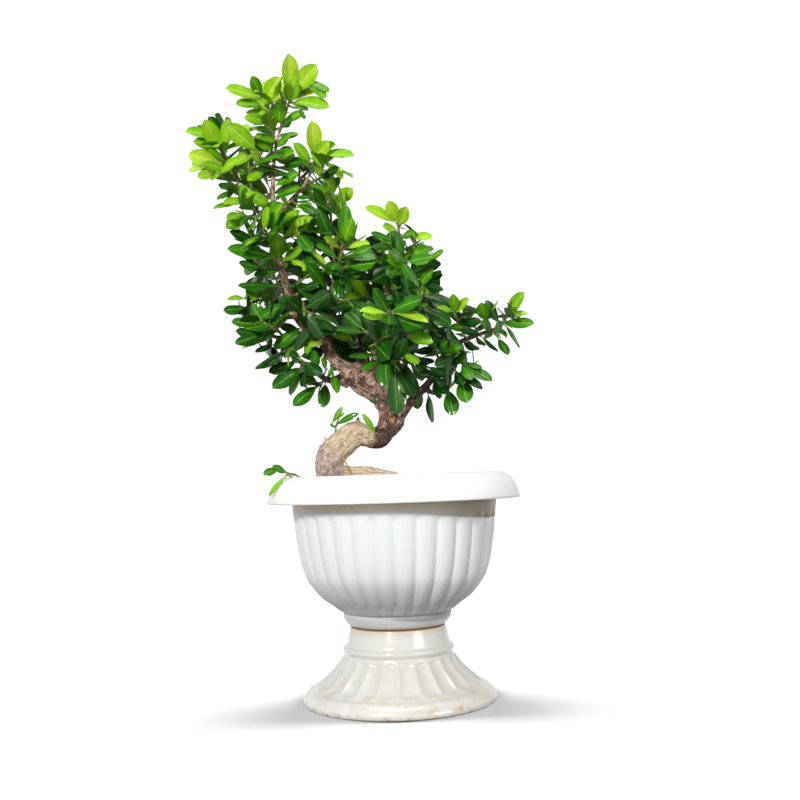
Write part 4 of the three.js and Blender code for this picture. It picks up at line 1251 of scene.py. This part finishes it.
def make_wood(material):
    """Bars along all routes, fused by a remesh, with bark on them."""
    shape = Shape()
    for name, route in WOOD.items():
        tube(shape, smooth_route(route, 2.5), TRUNK_SIDES if name == "trunk" else BRANCH_SIDES)
    for stub in STUBS:
        tube(shape, stub, 12)
    for x, y, z, radius in SWELLINGS:
        angles = np.linspace(0.05, math.pi - 0.05, 9)
        tube(shape, [[x, y, z - radius * math.cos(a), radius * math.sin(a)] for a in angles], 16)
    rough = shape.to_object("wood_rough", [])
    remesh = rough.modifiers.new("Remesh", "REMESH")
    remesh.mode = "VOXEL"
    remesh.voxel_size = VOXEL * MM
    smooth = rough.modifiers.new("Smooth", "SMOOTH")
    smooth.factor = 0.5
    smooth.iterations = 4
    seen = rough.evaluated_get(bpy.context.evaluated_depsgraph_get())
    mesh = bpy.data.meshes.new_from_object(seen)
    bpy.data.objects.remove(rough)
    mesh.name = "wood"
    for layer in list(mesh.attributes):
        if layer.name in ("tone", "UVMap"):
            mesh.attributes.remove(layer)
    shape_bark(mesh)
    mesh.materials.clear()
    mesh.materials.append(material)
    mesh.polygons.foreach_set("use_smooth", np.ones(len(mesh.polygons), bool))
    return new_object("wood", mesh)


def shape_bark(mesh):
    """Moves the bark in and out along its grain, and marks scars, shades and painted light on it."""
    count = len(mesh.vertices)
    points = np.zeros(count * 3)
    mesh.vertices.foreach_get("co", points)
    points = (points.reshape(-1, 3) - POT_AXIS) / MM
    normals = np.zeros(count * 3)
    mesh.vertices.foreach_get("normal", normals)
    normals = normals.reshape(-1, 3)
    samples = wood_samples()
    nearest = np.zeros(count, int)
    for start in range(0, count, BLOCK):
        block = points[start:start + BLOCK]
        away = np.linalg.norm(block[:, None, :] - samples[None, :, :3], axis=2) - samples[None, :, 3]
        nearest[start:start + BLOCK] = away.argmin(axis=1)
    near = samples[nearest]
    offset = points - near[:, :3]
    x = (offset * near[:, 4:7]).sum(axis=1)
    y = (offset * near[:, 7:10]).sum(axis=1)
    reach = np.hypot(x, y) + 1e-6
    radius = near[:, 3]
    along, shade, aerial, wear_and_lit_side = near[:, 10:].T
    grain = np.stack([x, y, along], -1)
    depth = np.zeros(count)
    for i in range(count):
        thick = min(radius[i] / 16, 1.15)
        c, s = x[i] / reach[i], y[i] / reach[i]
        flutes = noise.noise(Vector((c * 1.7, s * 1.7, along[i] / 55 + 4)))
        lumps = noise.noise(Vector(points[i] / 15))
        wrinkles = noise.noise(Vector((c * radius[i] / 2.6, s * radius[i] / 2.6, along[i] / 9)))
        depth[i] = thick * (2.4 * flutes + 1.3 * lumps) + (0.25 + 0.45 * thick) * wrinkles
    marks = {"scar": np.zeros(count), "pale": np.zeros(count)}
    for scar_x, scar_z, size, kind in SCARS:
        aside = np.hypot(points[:, 0] - scar_x, points[:, 2] - scar_z)
        front = points[aside < 4]
        centre = front[front[:, 1].argmin()]
        away = np.linalg.norm(points - centre, axis=1)
        marks[kind] = np.maximum(marks[kind], 1 - step_between(size - 2.2, size - 0.4, away))
        # A raised rim round a hollow
        depth += 1.7 * np.exp(-((away - size) / 1.5) ** 2) - (1 - step_between(size - 2.5, size - 0.5, away))
    marks["scar"] = np.maximum(marks["scar"], 0.55 * aerial)
    points += normals * depth[:, None]
    mesh.vertices.foreach_set("co", (points * MM + POT_AXIS).ravel())
    add_values(mesh, "shade", shade)
    low = step_between(334, 300, points[:, 2] + 0.9 * (points[:, 0] + 80))
    add_values(mesh, "grey_low_left", low * step_between(-54, -66, points[:, 0]))
    # Painted light: the left sides of the upper trunk and branches, towards the key light, get the lighter
    # streaks
    left = 0.85 * step_between(3, -7, offset[:, 0]) * step_between(338, 348, points[:, 2])
    add_values(mesh, "wear_and_lit_side", np.maximum(wear_and_lit_side, left))
    for name, values in marks.items():
        add_values(mesh, name, values)
    layer = mesh.attributes.new("grain", "FLOAT_VECTOR", "POINT")
    layer.data.foreach_set("vector", grain.astype(np.float32).ravel())
    mesh.update()


# Leaves
# Grid of a blade, the part of a leaf that is its stalk, and the blade's thickness
BLADE_ROWS = 13
BLADE_COLUMNS = 9
BLADE_START = 0.13
BLADE_DEPTH = 0.5
# Grid of the blade that is tested against others, its points that are tested against the outline, and
# the reach beyond a leaf's length in which others are tested
COARSE_ROWS = 7
COARSE_COLUMNS = 5
OUTLINE_POINTS = [-3, -6, -10, -13, -15]
TEST_REACH = 8
# Cosine of the angle at the camera within which a leaf may hide another
HIDING_ANGLE = math.cos(0.035)
# A leaf whose tip is this near to a point of the solid is one of the solid's own
TIP_MATCH = 0.1
# Sides of stems, twigs and buds, and of a leaf's stalk, and the number of their material
STEM_SIDES = 8
STALK_SIDES = 6
STEM_KIND = 2
# Turns that are tried for a leaf that is set out, and for one on a stem
PLACED_TRIES = 12
STEM_TRIES = 9
# Leaves that each stem and each side shoot gets besides the solids' own
MORE_LEAVES = 5
SIDE_LEAVES = 8
# Sprigs that have only the leaves that were set out
SPRIGS = ("knuckle", "over_rim")
# Numbers that a leaf's own form is drawn from
KEYS_A_SHOOT = 100
MORE_KEY = 30
SIDE_KEY = 60
PLACED_KEY = 7000
PLACED_KEYS_A_SHOOT = 50


class Leaf:
    """One leaf: where it leaves its stem, its way, the way it faces, its length and its own form."""

    def __init__(self, root, way, normal, length, number, tone, droop=DROOP, width=None):
        self.root, self.way, self.normal, self.length = root, way, normal, length
        self.side = np.cross(way, normal)
        self.tone = tone
        self.width = width or length * LEAF_WIDTH / LEAF_LENGTH * (0.9 + 0.16 * chance(number, 1))
        self.droop = droop
        young = 1 - min(max(tone, 0), 1)
        self.fold = 0.05 + 0.42 * young * chance(number, 2)
        self.arch = (0.25 + 0.35 * chance(number, 3)) * (1 - young)
        self.wave = 0.7 * chance(number, 4)
        self.phase = TURN * chance(number, 5)
        self.bend = 0.09 * (chance(number, 6) - 0.5)

    def half_width(self, part):
        """Half the blade's width at a part of its length: widest past the middle, with a round tip."""
        inside = np.clip((part - BLADE_START) / (1 - BLADE_START), 0, 1)
        fullness = 0.52 + 0.1 * min(max(self.tone, 0), 1)
        return self.width / 2 * np.maximum(np.sin(math.pi * inside ** 1.28) ** fullness, 0.025)

    def points(self, rows, columns, lift=0.0):
        """The blade's grid, with u from -1 to 1 over it and a part from 0 to 1 along it."""
        part = BLADE_START + (1 - BLADE_START) * np.linspace(0, 1, rows) ** 0.94
        part, u = np.meshgrid(part, np.linspace(-1, 1, columns), indexing="ij")
        half = self.half_width(part)
        x = half * u
        height = -self.droop * self.length * part ** 2
        height += self.fold * np.abs(x) - self.arch * x ** 2 / (self.width / 2)
        height += self.wave * np.sin(9 * part + self.phase + 1.3 * np.sign(u)) * u ** 2
        height -= 0.35 * np.exp(-(x / 0.8) ** 2)
        height += lift * np.minimum(1, 4 * (1 - np.abs(u))) * np.minimum(1, 8 * (1 - part))
        x = x + self.bend * self.length * part ** 2
        grid = (self.root + part[..., None] * self.length * self.way + x[..., None] * self.side
                + height[..., None] * self.normal)
        uv = np.stack([0.5 + 0.5 * u, (part - BLADE_START) / (1 - BLADE_START)], -1)
        return grid.reshape(-1, 3), uv.reshape(-1, 2)

    def coarse(self):
        return self.points(COARSE_ROWS, COARSE_COLUMNS)[0]

    def surface(self):
        return BVHTree.FromPolygons(self.coarse().tolist(), grid_faces(COARSE_ROWS, COARSE_COLUMNS).tolist())

    def middle(self):
        return self.root + 0.55 * self.length * self.way - 0.3 * self.droop * self.length * self.normal

    def build(self, shape):
        """A thin closed blade with a stalk. Kind 0 is its top, 1 its underside and 2 the stalk."""
        top, uv = self.points(BLADE_ROWS, BLADE_COLUMNS)
        low, _ = self.points(BLADE_ROWS, BLADE_COLUMNS, -BLADE_DEPTH)
        rows, columns = np.divmod(np.arange(len(top)), BLADE_COLUMNS)
        rim = (rows == 0) | (rows == BLADE_ROWS - 1) | (columns == 0) | (columns == BLADE_COLUMNS - 1)
        inner = np.flatnonzero(~rim)
        # The rib stands out below
        rib = columns[inner] == BLADE_COLUMNS // 2
        low = low[inner] - np.outer(0.45 * rib, self.normal)
        number = np.arange(len(top))
        number[inner] = len(top) + np.arange(len(inner))
        faces = grid_faces(BLADE_ROWS, BLADE_COLUMNS)
        points = np.vstack([top, low])
        uvs = np.vstack([uv, uv[inner]])
        edge = np.concatenate([rim, np.zeros(len(inner), bool)])
        under = number[faces] + shape.count
        shape.add(points, faces[:, ::-1], 0, uvs, self.tone, edge)
        shape.faces.extend(under.tolist())
        shape.kinds.extend([1] * len(under))
        stalk = []
        for part in np.linspace(0, BLADE_START + 0.05, 4):
            height = -self.droop * self.length * part ** 2 - 0.45
            centre = self.root + part * self.length * self.way + height * self.normal
            stalk.append([*centre, 0.95 - 1.6 * part])
        tube(shape, stalk, STALK_SIDES, STEM_KIND, 1.0 - 0.35 * min(self.tone, 1))


class Crown:
    """The leaves placed so far, which later ones have to fit in with."""

    def __init__(self, wood):
        self.trees, self.middles, self.shown = [], [], []
        points = [(vertex.co - Vector(POT_AXIS)) / MM for vertex in wood.data.vertices]
        self.wood = BVHTree.FromPolygons(points, [list(face.vertices) for face in wood.data.polygons])

    def put(self, leaf, shown=False):
        self.trees.append(leaf.surface())
        self.middles.append(leaf.middle())
        if shown:
            blade = leaf.coarse().reshape(COARSE_ROWS, COARSE_COLUMNS, 3)
            self.shown.extend(blade[2:6, COARSE_COLUMNS // 2])
        return leaf

    def fits(self, leaf):
        return not (self.crowded(leaf) or self.outside(leaf) or self.hides(leaf))

    def crowded(self, leaf):
        """Whether the leaf crosses the wood or another leaf."""
        tree = leaf.surface()
        if tree.overlap(self.wood):
            return True
        if not self.middles:
            return False
        away = np.linalg.norm(np.array(self.middles) - leaf.middle(), axis=1)
        return any(tree.overlap(self.trees[i]) for i in np.flatnonzero(away < leaf.length + TEST_REACH))

    def hides(self, leaf):
        """Whether the leaf stands between the camera and a leaf that was set out."""
        tree = leaf.surface()
        rays = np.array(self.shown) - CAMERA_PLACE
        reach = np.linalg.norm(rays, axis=1)
        middle = leaf.middle() - CAMERA_PLACE
        near = (rays @ middle) / (reach * np.linalg.norm(middle)) > HIDING_ANGLE
        for ray, length in zip(rays[near], reach[near]):
            if tree.ray_cast(Vector(CAMERA_PLACE), Vector(ray / length), length - 1)[0] is not None:
                return True
        return False

    def outside(self, leaf):
        """Whether a part of the blade shows beyond the crown's outline."""
        blade = leaf.coarse()[OUTLINE_POINTS]
        part = -CAMERA_PLACE[1] / (blade[:, 1] - CAMERA_PLACE[1])
        seen = CAMERA_PLACE + (blade - CAMERA_PLACE) * part[:, None]
        return any(not in_outline(x, z) for x, z in seen[:, [0, 2]])


def in_outline(x, z):
    inside = False
    for (x0, z0), (x1, z1) in zip(OUTLINE, OUTLINE[1:] + OUTLINE[:1]):
        if (z0 > z) != (z1 > z) and x < x0 + (x1 - x0) * (z - z0) / (z1 - z0):
            inside = not inside
    return inside


def stem_at(shoot, part):
    """The point at a part of a shoot's stem, which sags a little."""
    _, branch, place, end = shoot[:4]
    start = on_route(WOOD[branch], place)[:3]
    tip = np.array(end, float)
    bend = (start + tip) / 2
    bend[2] -= 0.05 * np.linalg.norm(tip - start)
    return arc(start, bend, tip, part)


def bare_of(shoot):
    """The part of a stem without leaves, which is longer where the wood is thick."""
    length = np.linalg.norm(stem_at(shoot, 0) - stem_at(shoot, 1))
    return max(BARE_STEM, (on_route(WOOD[shoot[1]], shoot[2])[3] + 5) / length)


def to_and_fro(attempt):
    """Which side a try goes to, and by how many steps: 0, then 1 to either side, then 2."""
    return (1 if attempt % 2 else -1), math.ceil(attempt / 2)


def way_off(axis, turn, lift):
    """The way of a leaf that stands off a stem at a turn round it, lifted towards the stem's tip."""
    across, up = square_to(axis, STEM_HINT)
    out = across * math.cos(turn) + up * math.sin(turn)
    return unit(out * math.cos(lift) + axis * math.sin(lift))


def leaf_frame(shoot, number, order, attempt):
    """Where a leaf of the solids stands, by the same rule."""
    count, size = shoot[4:6]
    part = order / (count - 1)
    bare = bare_of(shoot)
    along = bare + (0.97 - bare) * part ** 0.8
    root = stem_at(shoot, along)
    axis = unit(root - stem_at(shoot, along - 0.1))
    side, steps = to_and_fro(attempt)
    turn = GOLDEN_ANGLE * order + TURN * chance(number, 1) + side * 0.2 * steps
    lift = 0.3 + 0.8 * part * part + 0.4 * (chance(number, order + 10) - 0.5) + 0.05 * side * attempt
    way = way_off(axis, turn, lift)
    normal, _ = square_to(way, axis + np.array([0, 0, 0.35]))
    grown = 0.82 + 0.18 * math.sin(math.pi * min(part + 0.25, 1))
    length = LEAF_LENGTH * size * grown * (0.88 + 0.24 * chance(number, order + 40))
    return root, way, normal, length


def outwards(root):
    """From the middle of the crown to a leaf, level, with a lean to the light in front."""
    spine = -30 - 0.25 * (root[2] - 400)
    away = np.array([root[0] - spine, root[1] - 25, 0]) + 1e-6
    return unit(unit(away) + np.array([0, -0.55, 0]))


def facing(way, axis, root):
    """The way that a leaf's top faces: up, along its stem and out of the crown."""
    return square_to(way, axis + np.array([0, 0, 0.5]) + 0.9 * outwards(root))[0]


def tone_at(point, part, number):
    """Leaves are old and dark low down and inside, and young and bright at the top and at the tips."""
    height = 1.05 - (point[2] - 400) / 390
    youth = 0.28 - 0.12 * step_between(560, 460, point[2])
    return min(max(height - youth * part ** 2 + 0.3 * (chance(number, 77) - 0.5), 0.0), 1.0)


def solid_leaves(shoot, number):
    """The leaves that the CAD node has: their tips are points of its mesh."""
    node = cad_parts["shoot_" + shoot[0]]
    tips = KDTree(len(node.data.vertices))
    for i, vertex in enumerate(node.data.vertices):
        tips.insert((Vector(vertex.co) - Vector(POT_AXIS)) / MM, i)
    tips.balance()
    stem = unit(stem_at(shoot, 1) - stem_at(shoot, 0.6))
    found = []
    for order in range(shoot[4] - 1, -1, -1):
        for attempt in range(TRIES):
            root, way, normal, length = leaf_frame(shoot, number, order, attempt)
            tip = root + way * length - normal * DROOP * length
            if tips.find(tip)[2] < TIP_MATCH:
                key = KEYS_A_SHOOT * number + order
                tone = tone_at(tip, order / (shoot[4] - 1), key) + shoot[6]
                normal = facing(way, stem, root)
                reach = tip + normal * DROOP * length - root
                length = np.linalg.norm(reach)
                way = reach / length
                found.append(Leaf(root, way, square_to(way, normal)[0], length, key, tone))
                break
    return found


def add_bud(shape, end, axis, length, radius, tip, rings):
    """A pointed bud, which the tip's radius keeps from ending in a point."""
    parts = np.linspace(-0.05, 1, rings)
    bud = [[*(end + axis * length * part), radius * (1 - part) ** 0.7 + tip] for part in parts]
    tube(shape, bud, STEM_SIDES, STEM_KIND, 1.0)


def add_stem(shape, route):
    """A green twig that swells at its joints and ends in a pointed bud."""
    parts = np.linspace(0, 1, len(route))
    radii = [STEM_RADIUS * (1.05 - 0.4 * part) * (1 + 0.12 * (i % 2)) for i, part in enumerate(parts)]
    rows = [[*point, radius] for point, radius in zip(route, radii)]
    tube(shape, rows, STEM_SIDES, STEM_KIND, 0.25 + 0.7 * parts)
    add_bud(shape, route[-1], unit(route[-1] - route[-2]), 8, 1.25, 0.12, 6)


def add_twig(shape, start, end):
    """A thin green twig to a leaf's root, with a small bud at its end."""
    parts = np.linspace(0, 1, 6)[:, None]
    sag = np.array([0, 0, 0.08 * np.linalg.norm(end - start)])
    route = start + (end - start) * parts - sag * 4 * parts * (1 - parts)
    rows = [[*point, 1.5 - 0.4 * part] for point, part in zip(route, parts[:, 0])]
    tube(shape, rows, STEM_SIDES, STEM_KIND, 0.35 + 0.5 * parts[:, 0])
    add_bud(shape, end, unit(end - start), 5, 1.1, 0.1, 5)


def leaf_on(route, along, turn, lift, size, number, tone_shift, crown):
    """Tries a leaf at a place on a stem, and turns it if it doesn't fit. Gives None if no turn fits."""
    index = along * (len(route) - 1)
    low = min(int(index), len(route) - 2)
    root = route[low] + (route[low + 1] - route[low]) * (index - low)
    axis = unit(route[low + 1] - route[low])
    for attempt in range(STEM_TRIES):
        side, steps = to_and_fro(attempt)
        way = way_off(axis, turn + side * 0.33 * steps, lift + 0.06 * side * attempt)
        length = LEAF_LENGTH * size * (0.85 + 0.25 * chance(number, 40))
        tone = tone_at(root + way * length, along, number) + tone_shift
        leaf = Leaf(root, way, facing(way, axis, root), length, number, tone)
        if crown.fits(leaf):
            return crown.put(leaf)
    return None


def leaves_round(route, places, size, first_key, tone_shift, crown):
    """Leaves round a stem by the golden angle. Each place is the part of the way along it, and the lift."""
    leaves = []
    for k, (along, lift) in enumerate(places):
        turn = GOLDEN_ANGLE * k + TURN * chance(first_key + k, 8)
        leaf = leaf_on(route, along, turn, lift, size, first_key + k, tone_shift, crown)
        if leaf is not None:
            leaves.append(leaf)
    return leaves


def placed_leaf(row, number, crown):
    """A leaf that was set out. It tilts a little to or from the viewer where it would cross another."""
    root, tip = np.array(row[:3], float), np.array(row[3:6], float)
    width, turn, tone = row[6:9]
    droop = row[9] if len(row) > 9 else DROOP
    for attempt in range(PLACED_TRIES):
        side, steps = to_and_fro(attempt)
        end = tip + np.array([0, 3.5 * side * steps, 0])
        way = unit(end - root)
        face, _ = square_to(way, unit(CAMERA_PLACE - root))
        up = np.cross(face, way)
        up *= 1 if up[2] >= 0 else -1
        normal = face * math.cos(math.radians(turn)) + up * math.sin(math.radians(turn))
        reach = end + normal * 0.8 * droop * np.linalg.norm(end - root) - root
        length = np.linalg.norm(reach)
        way = reach / length
        leaf = Leaf(root, way, square_to(way, normal)[0], length, number, tone, droop, width)
        if not crown.crowded(leaf):
            break
    return crown.put(leaf, shown=True)


def more_leaves(shoot, number, route, crown):
    """Leaves between those that the solids have."""
    alongs = [0.35 + 0.62 * (k + 0.5) / MORE_LEAVES for k in range(MORE_LEAVES)]
    places = [(along, 0.35 + 0.5 * along) for along in alongs]
    key = KEYS_A_SHOOT * number + MORE_KEY
    return leaves_round(route, places, 0.9 * shoot[5], key, shoot[6], crown)


def side_shoot(shape, shoot, number, route, crown):
    """A shorter shoot that leaves the first one half way, with its own leaves."""
    start = route[4]
    axis = unit(route[4] - route[3])
    across, up = square_to(axis, STEM_HINT)
    turn = TURN * chance(number, 91)
    out = across * math.cos(turn) + up * math.sin(turn)
    length = min(max(0.55 * np.linalg.norm(route[-1] - route[0]), 24), 40)
    way = unit(0.75 * out + 0.65 * axis + np.array([0, 0, 0.25]))
    bend = start + way * length * 0.5 - np.array([0, 0, 0.06 * length])
    side_route = arc(start, bend, start + way * length, np.linspace(0, 1, 7)[:, None])
    add_stem(shape, side_route)
    alongs = [0.3 + 0.68 * k / (SIDE_LEAVES - 1) for k in range(SIDE_LEAVES)]
    places = [(along, 0.35 + 0.6 * along ** 2) for along in alongs]
    key = KEYS_A_SHOOT * number + SIDE_KEY
    return leaves_round(side_route, places, 0.85 * shoot[5], key, shoot[6], crown)


def make_shoots(materials, wood):
    """The leafy pieces. First come the leaves that were set out, then the solids' own, then the rest."""
    crown = Crown(wood)
    own = {}
    for k, (name, rows) in enumerate(PLACED.items()):
        key = PLACED_KEY + PLACED_KEYS_A_SHOOT * k
        own[name] = [placed_leaf(row, key + i, crown) for i, row in enumerate(rows)]
    for number, shoot in enumerate(SHOOTS):
        leaves = own.setdefault(shoot[0], [])
        if shoot[0] not in SPRIGS:
            leaves += [crown.put(leaf) for leaf in solid_leaves(shoot, number) if crown.fits(leaf)]
    pieces = []
    for number, shoot in enumerate(SHOOTS):
        name = shoot[0]
        leaves = own[name]
        route = np.array([stem_at(shoot, part) for part in np.linspace(0, 1, 9)])
        shape = Shape()
        if name not in SPRIGS:
            add_stem(shape, route)
        for row in TWIGS.get(name, []):
            add_twig(shape, np.array(row[:3], float), np.array(row[3:], float))
        if name not in SPRIGS:
            leaves += more_leaves(shoot, number, route, crown)
            leaves += side_shoot(shape, shoot, number, route, crown)
        for leaf in leaves:
            leaf.build(shape)
        piece = shape.to_object("leafy_" + name, materials)
        dress(piece, "shoot_" + name)
        pieces.append(piece)
    return pieces


def dress(piece, node):
    """Puts a piece on the body and in the place of its solid."""
    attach(piece, "root")
    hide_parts(node)


# Camera, floor and light
FLOOR_HALF = 9000
FLOOR_GLOW = 0.02
WALL_GLOW = 1.05
DOME_SIDES = 32
DOME_RINGS = 12
# Brightness of the world by the height of the direction, from -1 straight down to 1 straight up
SKY = [
    (-1.0, 0.02), (-0.5, 0.03), (-0.25, 0.12), (-0.05, 0.58), (0.05, 0.9), (0.3, 0.92), (0.5, 0.38),
    (1.0, 0.28),
]
# Square lamps: place, the point that they face, side and power
KEY_LIGHT = ([-600, -1520, 900], [0, 0, 330], 200, 21)
FILL_LIGHT = ([1250, -1150, 420], [0, 0, 250], 700, 5)
GLINT_LIGHTS = (([150, -1500, 760], [0, 0, 480], 90, 6), ([520, -1420, 520], [0, 0, 480], 90, 6))
# The light above: strength, how broad it is and how far it leans over, in degrees
OVERHEAD_LIGHT = (1.3, 42, -6)
# Lamps that light only the floor, and that only the foot keeps from it: their light on the floor in all,
# how far they lean over from behind and to the side, and how broad each is
FLOOR_LIGHT = 63
FLOOR_LEAN = 42
FLOOR_TILTS = (-59, -50, -39, 39, 50, 59)
FLOOR_SPREAD = 20


def make_camera():
    """The camera at the photo's viewing angle."""
    forward = np.array([0, math.cos(CAMERA_PITCH), math.sin(CAMERA_PITCH)])
    upright = np.array([0, -math.sin(CAMERA_PITCH), math.cos(CAMERA_PITCH)])
    level = np.array([1, 0, 0])
    right = math.cos(CAMERA_ROLL) * level - math.sin(CAMERA_ROLL) * upright
    up = math.sin(CAMERA_ROLL) * level + math.cos(CAMERA_ROLL) * upright
    data = bpy.data.cameras.new("camera")
    data.lens = CAMERA_LENS
    data.sensor_width = SENSOR
    data.clip_end = 100
    camera = new_object("camera", data)
    place = CAMERA_PLACE * MM + POT_AXIS
    rows = [[right[i], up[i], -forward[i], place[i]] for i in range(3)]
    camera.matrix_world = Matrix(rows + [[0, 0, 0, 1]])
    bpy.context.scene.camera = camera


def make_floor():
    """A white floor and a white dome all round. Both show in the picture, and the floor also in gloss, but
    neither gives the part diffuse light, which comes from the world and the lamps."""
    shape = Shape()
    half = FLOOR_HALF
    shape.add([[-half, -half, 0], [half, -half, 0], [half, half, 0], [-half, half, 0]], [[0, 1, 2, 3]])
    floor = shape.to_object("floor", [white_floor()])
    floor.visible_diffuse = False
    shape = Shape()
    angles = ring_angles(DOME_SIDES)
    rows = []
    for rise in np.linspace(-0.2, 1.55, DOME_RINGS):
        level = np.full(DOME_SIDES, math.sin(rise))
        rows.append(np.stack([np.cos(angles) * math.cos(rise), np.sin(angles) * math.cos(rise), level], -1))
    shape.add(np.vstack(rows) * half, grid_faces(DOME_RINGS, DOME_SIDES, closed=True))
    dome = shape.to_object("backdrop", [white_wall()])
    dome.visible_diffuse = False
    dome.visible_glossy = False
    dome.visible_transmission = False
    dome.visible_shadow = False
    return floor


def new_lamp(name, kind, power, place, aim):
    """A lamp at a place in the frame, which shines along aim."""
    data = bpy.data.lights.new(name, kind)
    data.energy = power
    lamp = new_object(name, data)
    lamp.location = Vector(place)
    lamp.rotation_euler = Vector(aim).to_track_quat("-Z", "Y").to_euler()
    return lamp


def soft_light(name, place, target, size, power):
    """A square lamp that faces a point."""
    place, target = np.array(place, float), np.array(target, float)
    lamp = new_lamp(name, "AREA", power, place * MM + POT_AXIS, target - place)
    lamp.data.shape = "SQUARE"
    lamp.data.size = size * MM
    return lamp


def light_above(name, strength, angle, lean, tilt=0):
    """A broad light from above. It leans over from behind, and from the right where tilt is positive."""
    lean, tilt = math.radians(lean), math.radians(tilt)
    aim = (-math.sin(tilt), -math.cos(tilt) * math.sin(lean), -math.cos(tilt) * math.cos(lean))
    lamp = new_lamp(name, "SUN", strength, POT_AXIS + np.array([0, 0, 2.5]), aim)
    lamp.data.angle = math.radians(angle)
    return lamp


def make_glints(leafy):
    """Small lamps over the camera that only the leaves take, and only as gloss."""
    lit = bpy.data.collections.new("lit_by_glints")
    for piece in leafy:
        lit.objects.link(piece)
    for i, light in enumerate(GLINT_LIGHTS):
        lamp = soft_light("glint_%d" % i, *light)
        lamp.light_linking.receiver_collection = lit
        lamp.visible_diffuse = False
        lamp.visible_transmission = False


def make_light(floor):
    """A dim room with a bright horizon, a small key light from the front left, a broad weak fill from the
    front right, a broad light above, and the floor's own lamps. Gives the collection that blocks these."""
    world = bpy.data.worlds.new("studio")
    world.use_nodes = True
    look = Nodes(world.node_tree)
    rise = look.node("ShaderNodeMapRange", look.part(look.node("ShaderNodeTexCoord"), 2), -1)
    stops = [(0.5 + 0.5 * height, (level, level, level)) for height, level in SKY]
    look.put(look.nodes["Background"].inputs["Color"], look.ramp(rise, stops))
    bpy.context.scene.world = world
    bpy.context.scene.view_settings.view_transform = "Standard"
    soft_light("key", *KEY_LIGHT)
    light_above("overhead", *OVERHEAD_LIGHT)
    soft_light("fill", *FILL_LIGHT)
    lit = bpy.data.collections.new("lit_by_floor_light")
    lit.objects.link(floor)
    blockers = bpy.data.collections.new("blocks_floor_light")
    for i, tilt in enumerate(FLOOR_TILTS):
        # A slanting lamp is made stronger, so that each gives the floor as much
        slant = math.cos(math.radians(tilt)) * math.cos(math.radians(FLOOR_LEAN))
        strength = FLOOR_LIGHT / len(FLOOR_TILTS) / slant
        lamp = light_above("floor_light_%d" % i, strength, FLOOR_SPREAD, FLOOR_LEAN, tilt)
        lamp.light_linking.receiver_collection = lit
        lamp.light_linking.blocker_collection = blockers
    return blockers


make_camera()
blockers = make_light(make_floor())

wood = make_wood(bark())
dress(wood, "trunk")

for name, shape, material, node, slot in (
    ("urn_bowl", make_bowl(), bowl_plastic(), "pot_bowl", "bowl_plastic"),
    ("urn_foot", make_foot(), foot_plastic(), "pot_foot", "foot_plastic"),
    ("soil_bed", make_soil(), soil_crumb(), "soil", "soil"),
):
    piece = shape.to_object(name, [material])
    dress(piece, node)
    if name == "urn_foot":
        blockers.objects.link(piece)

make_glints(make_shoots([leaf_top(), leaf_under(), twig()], wood))
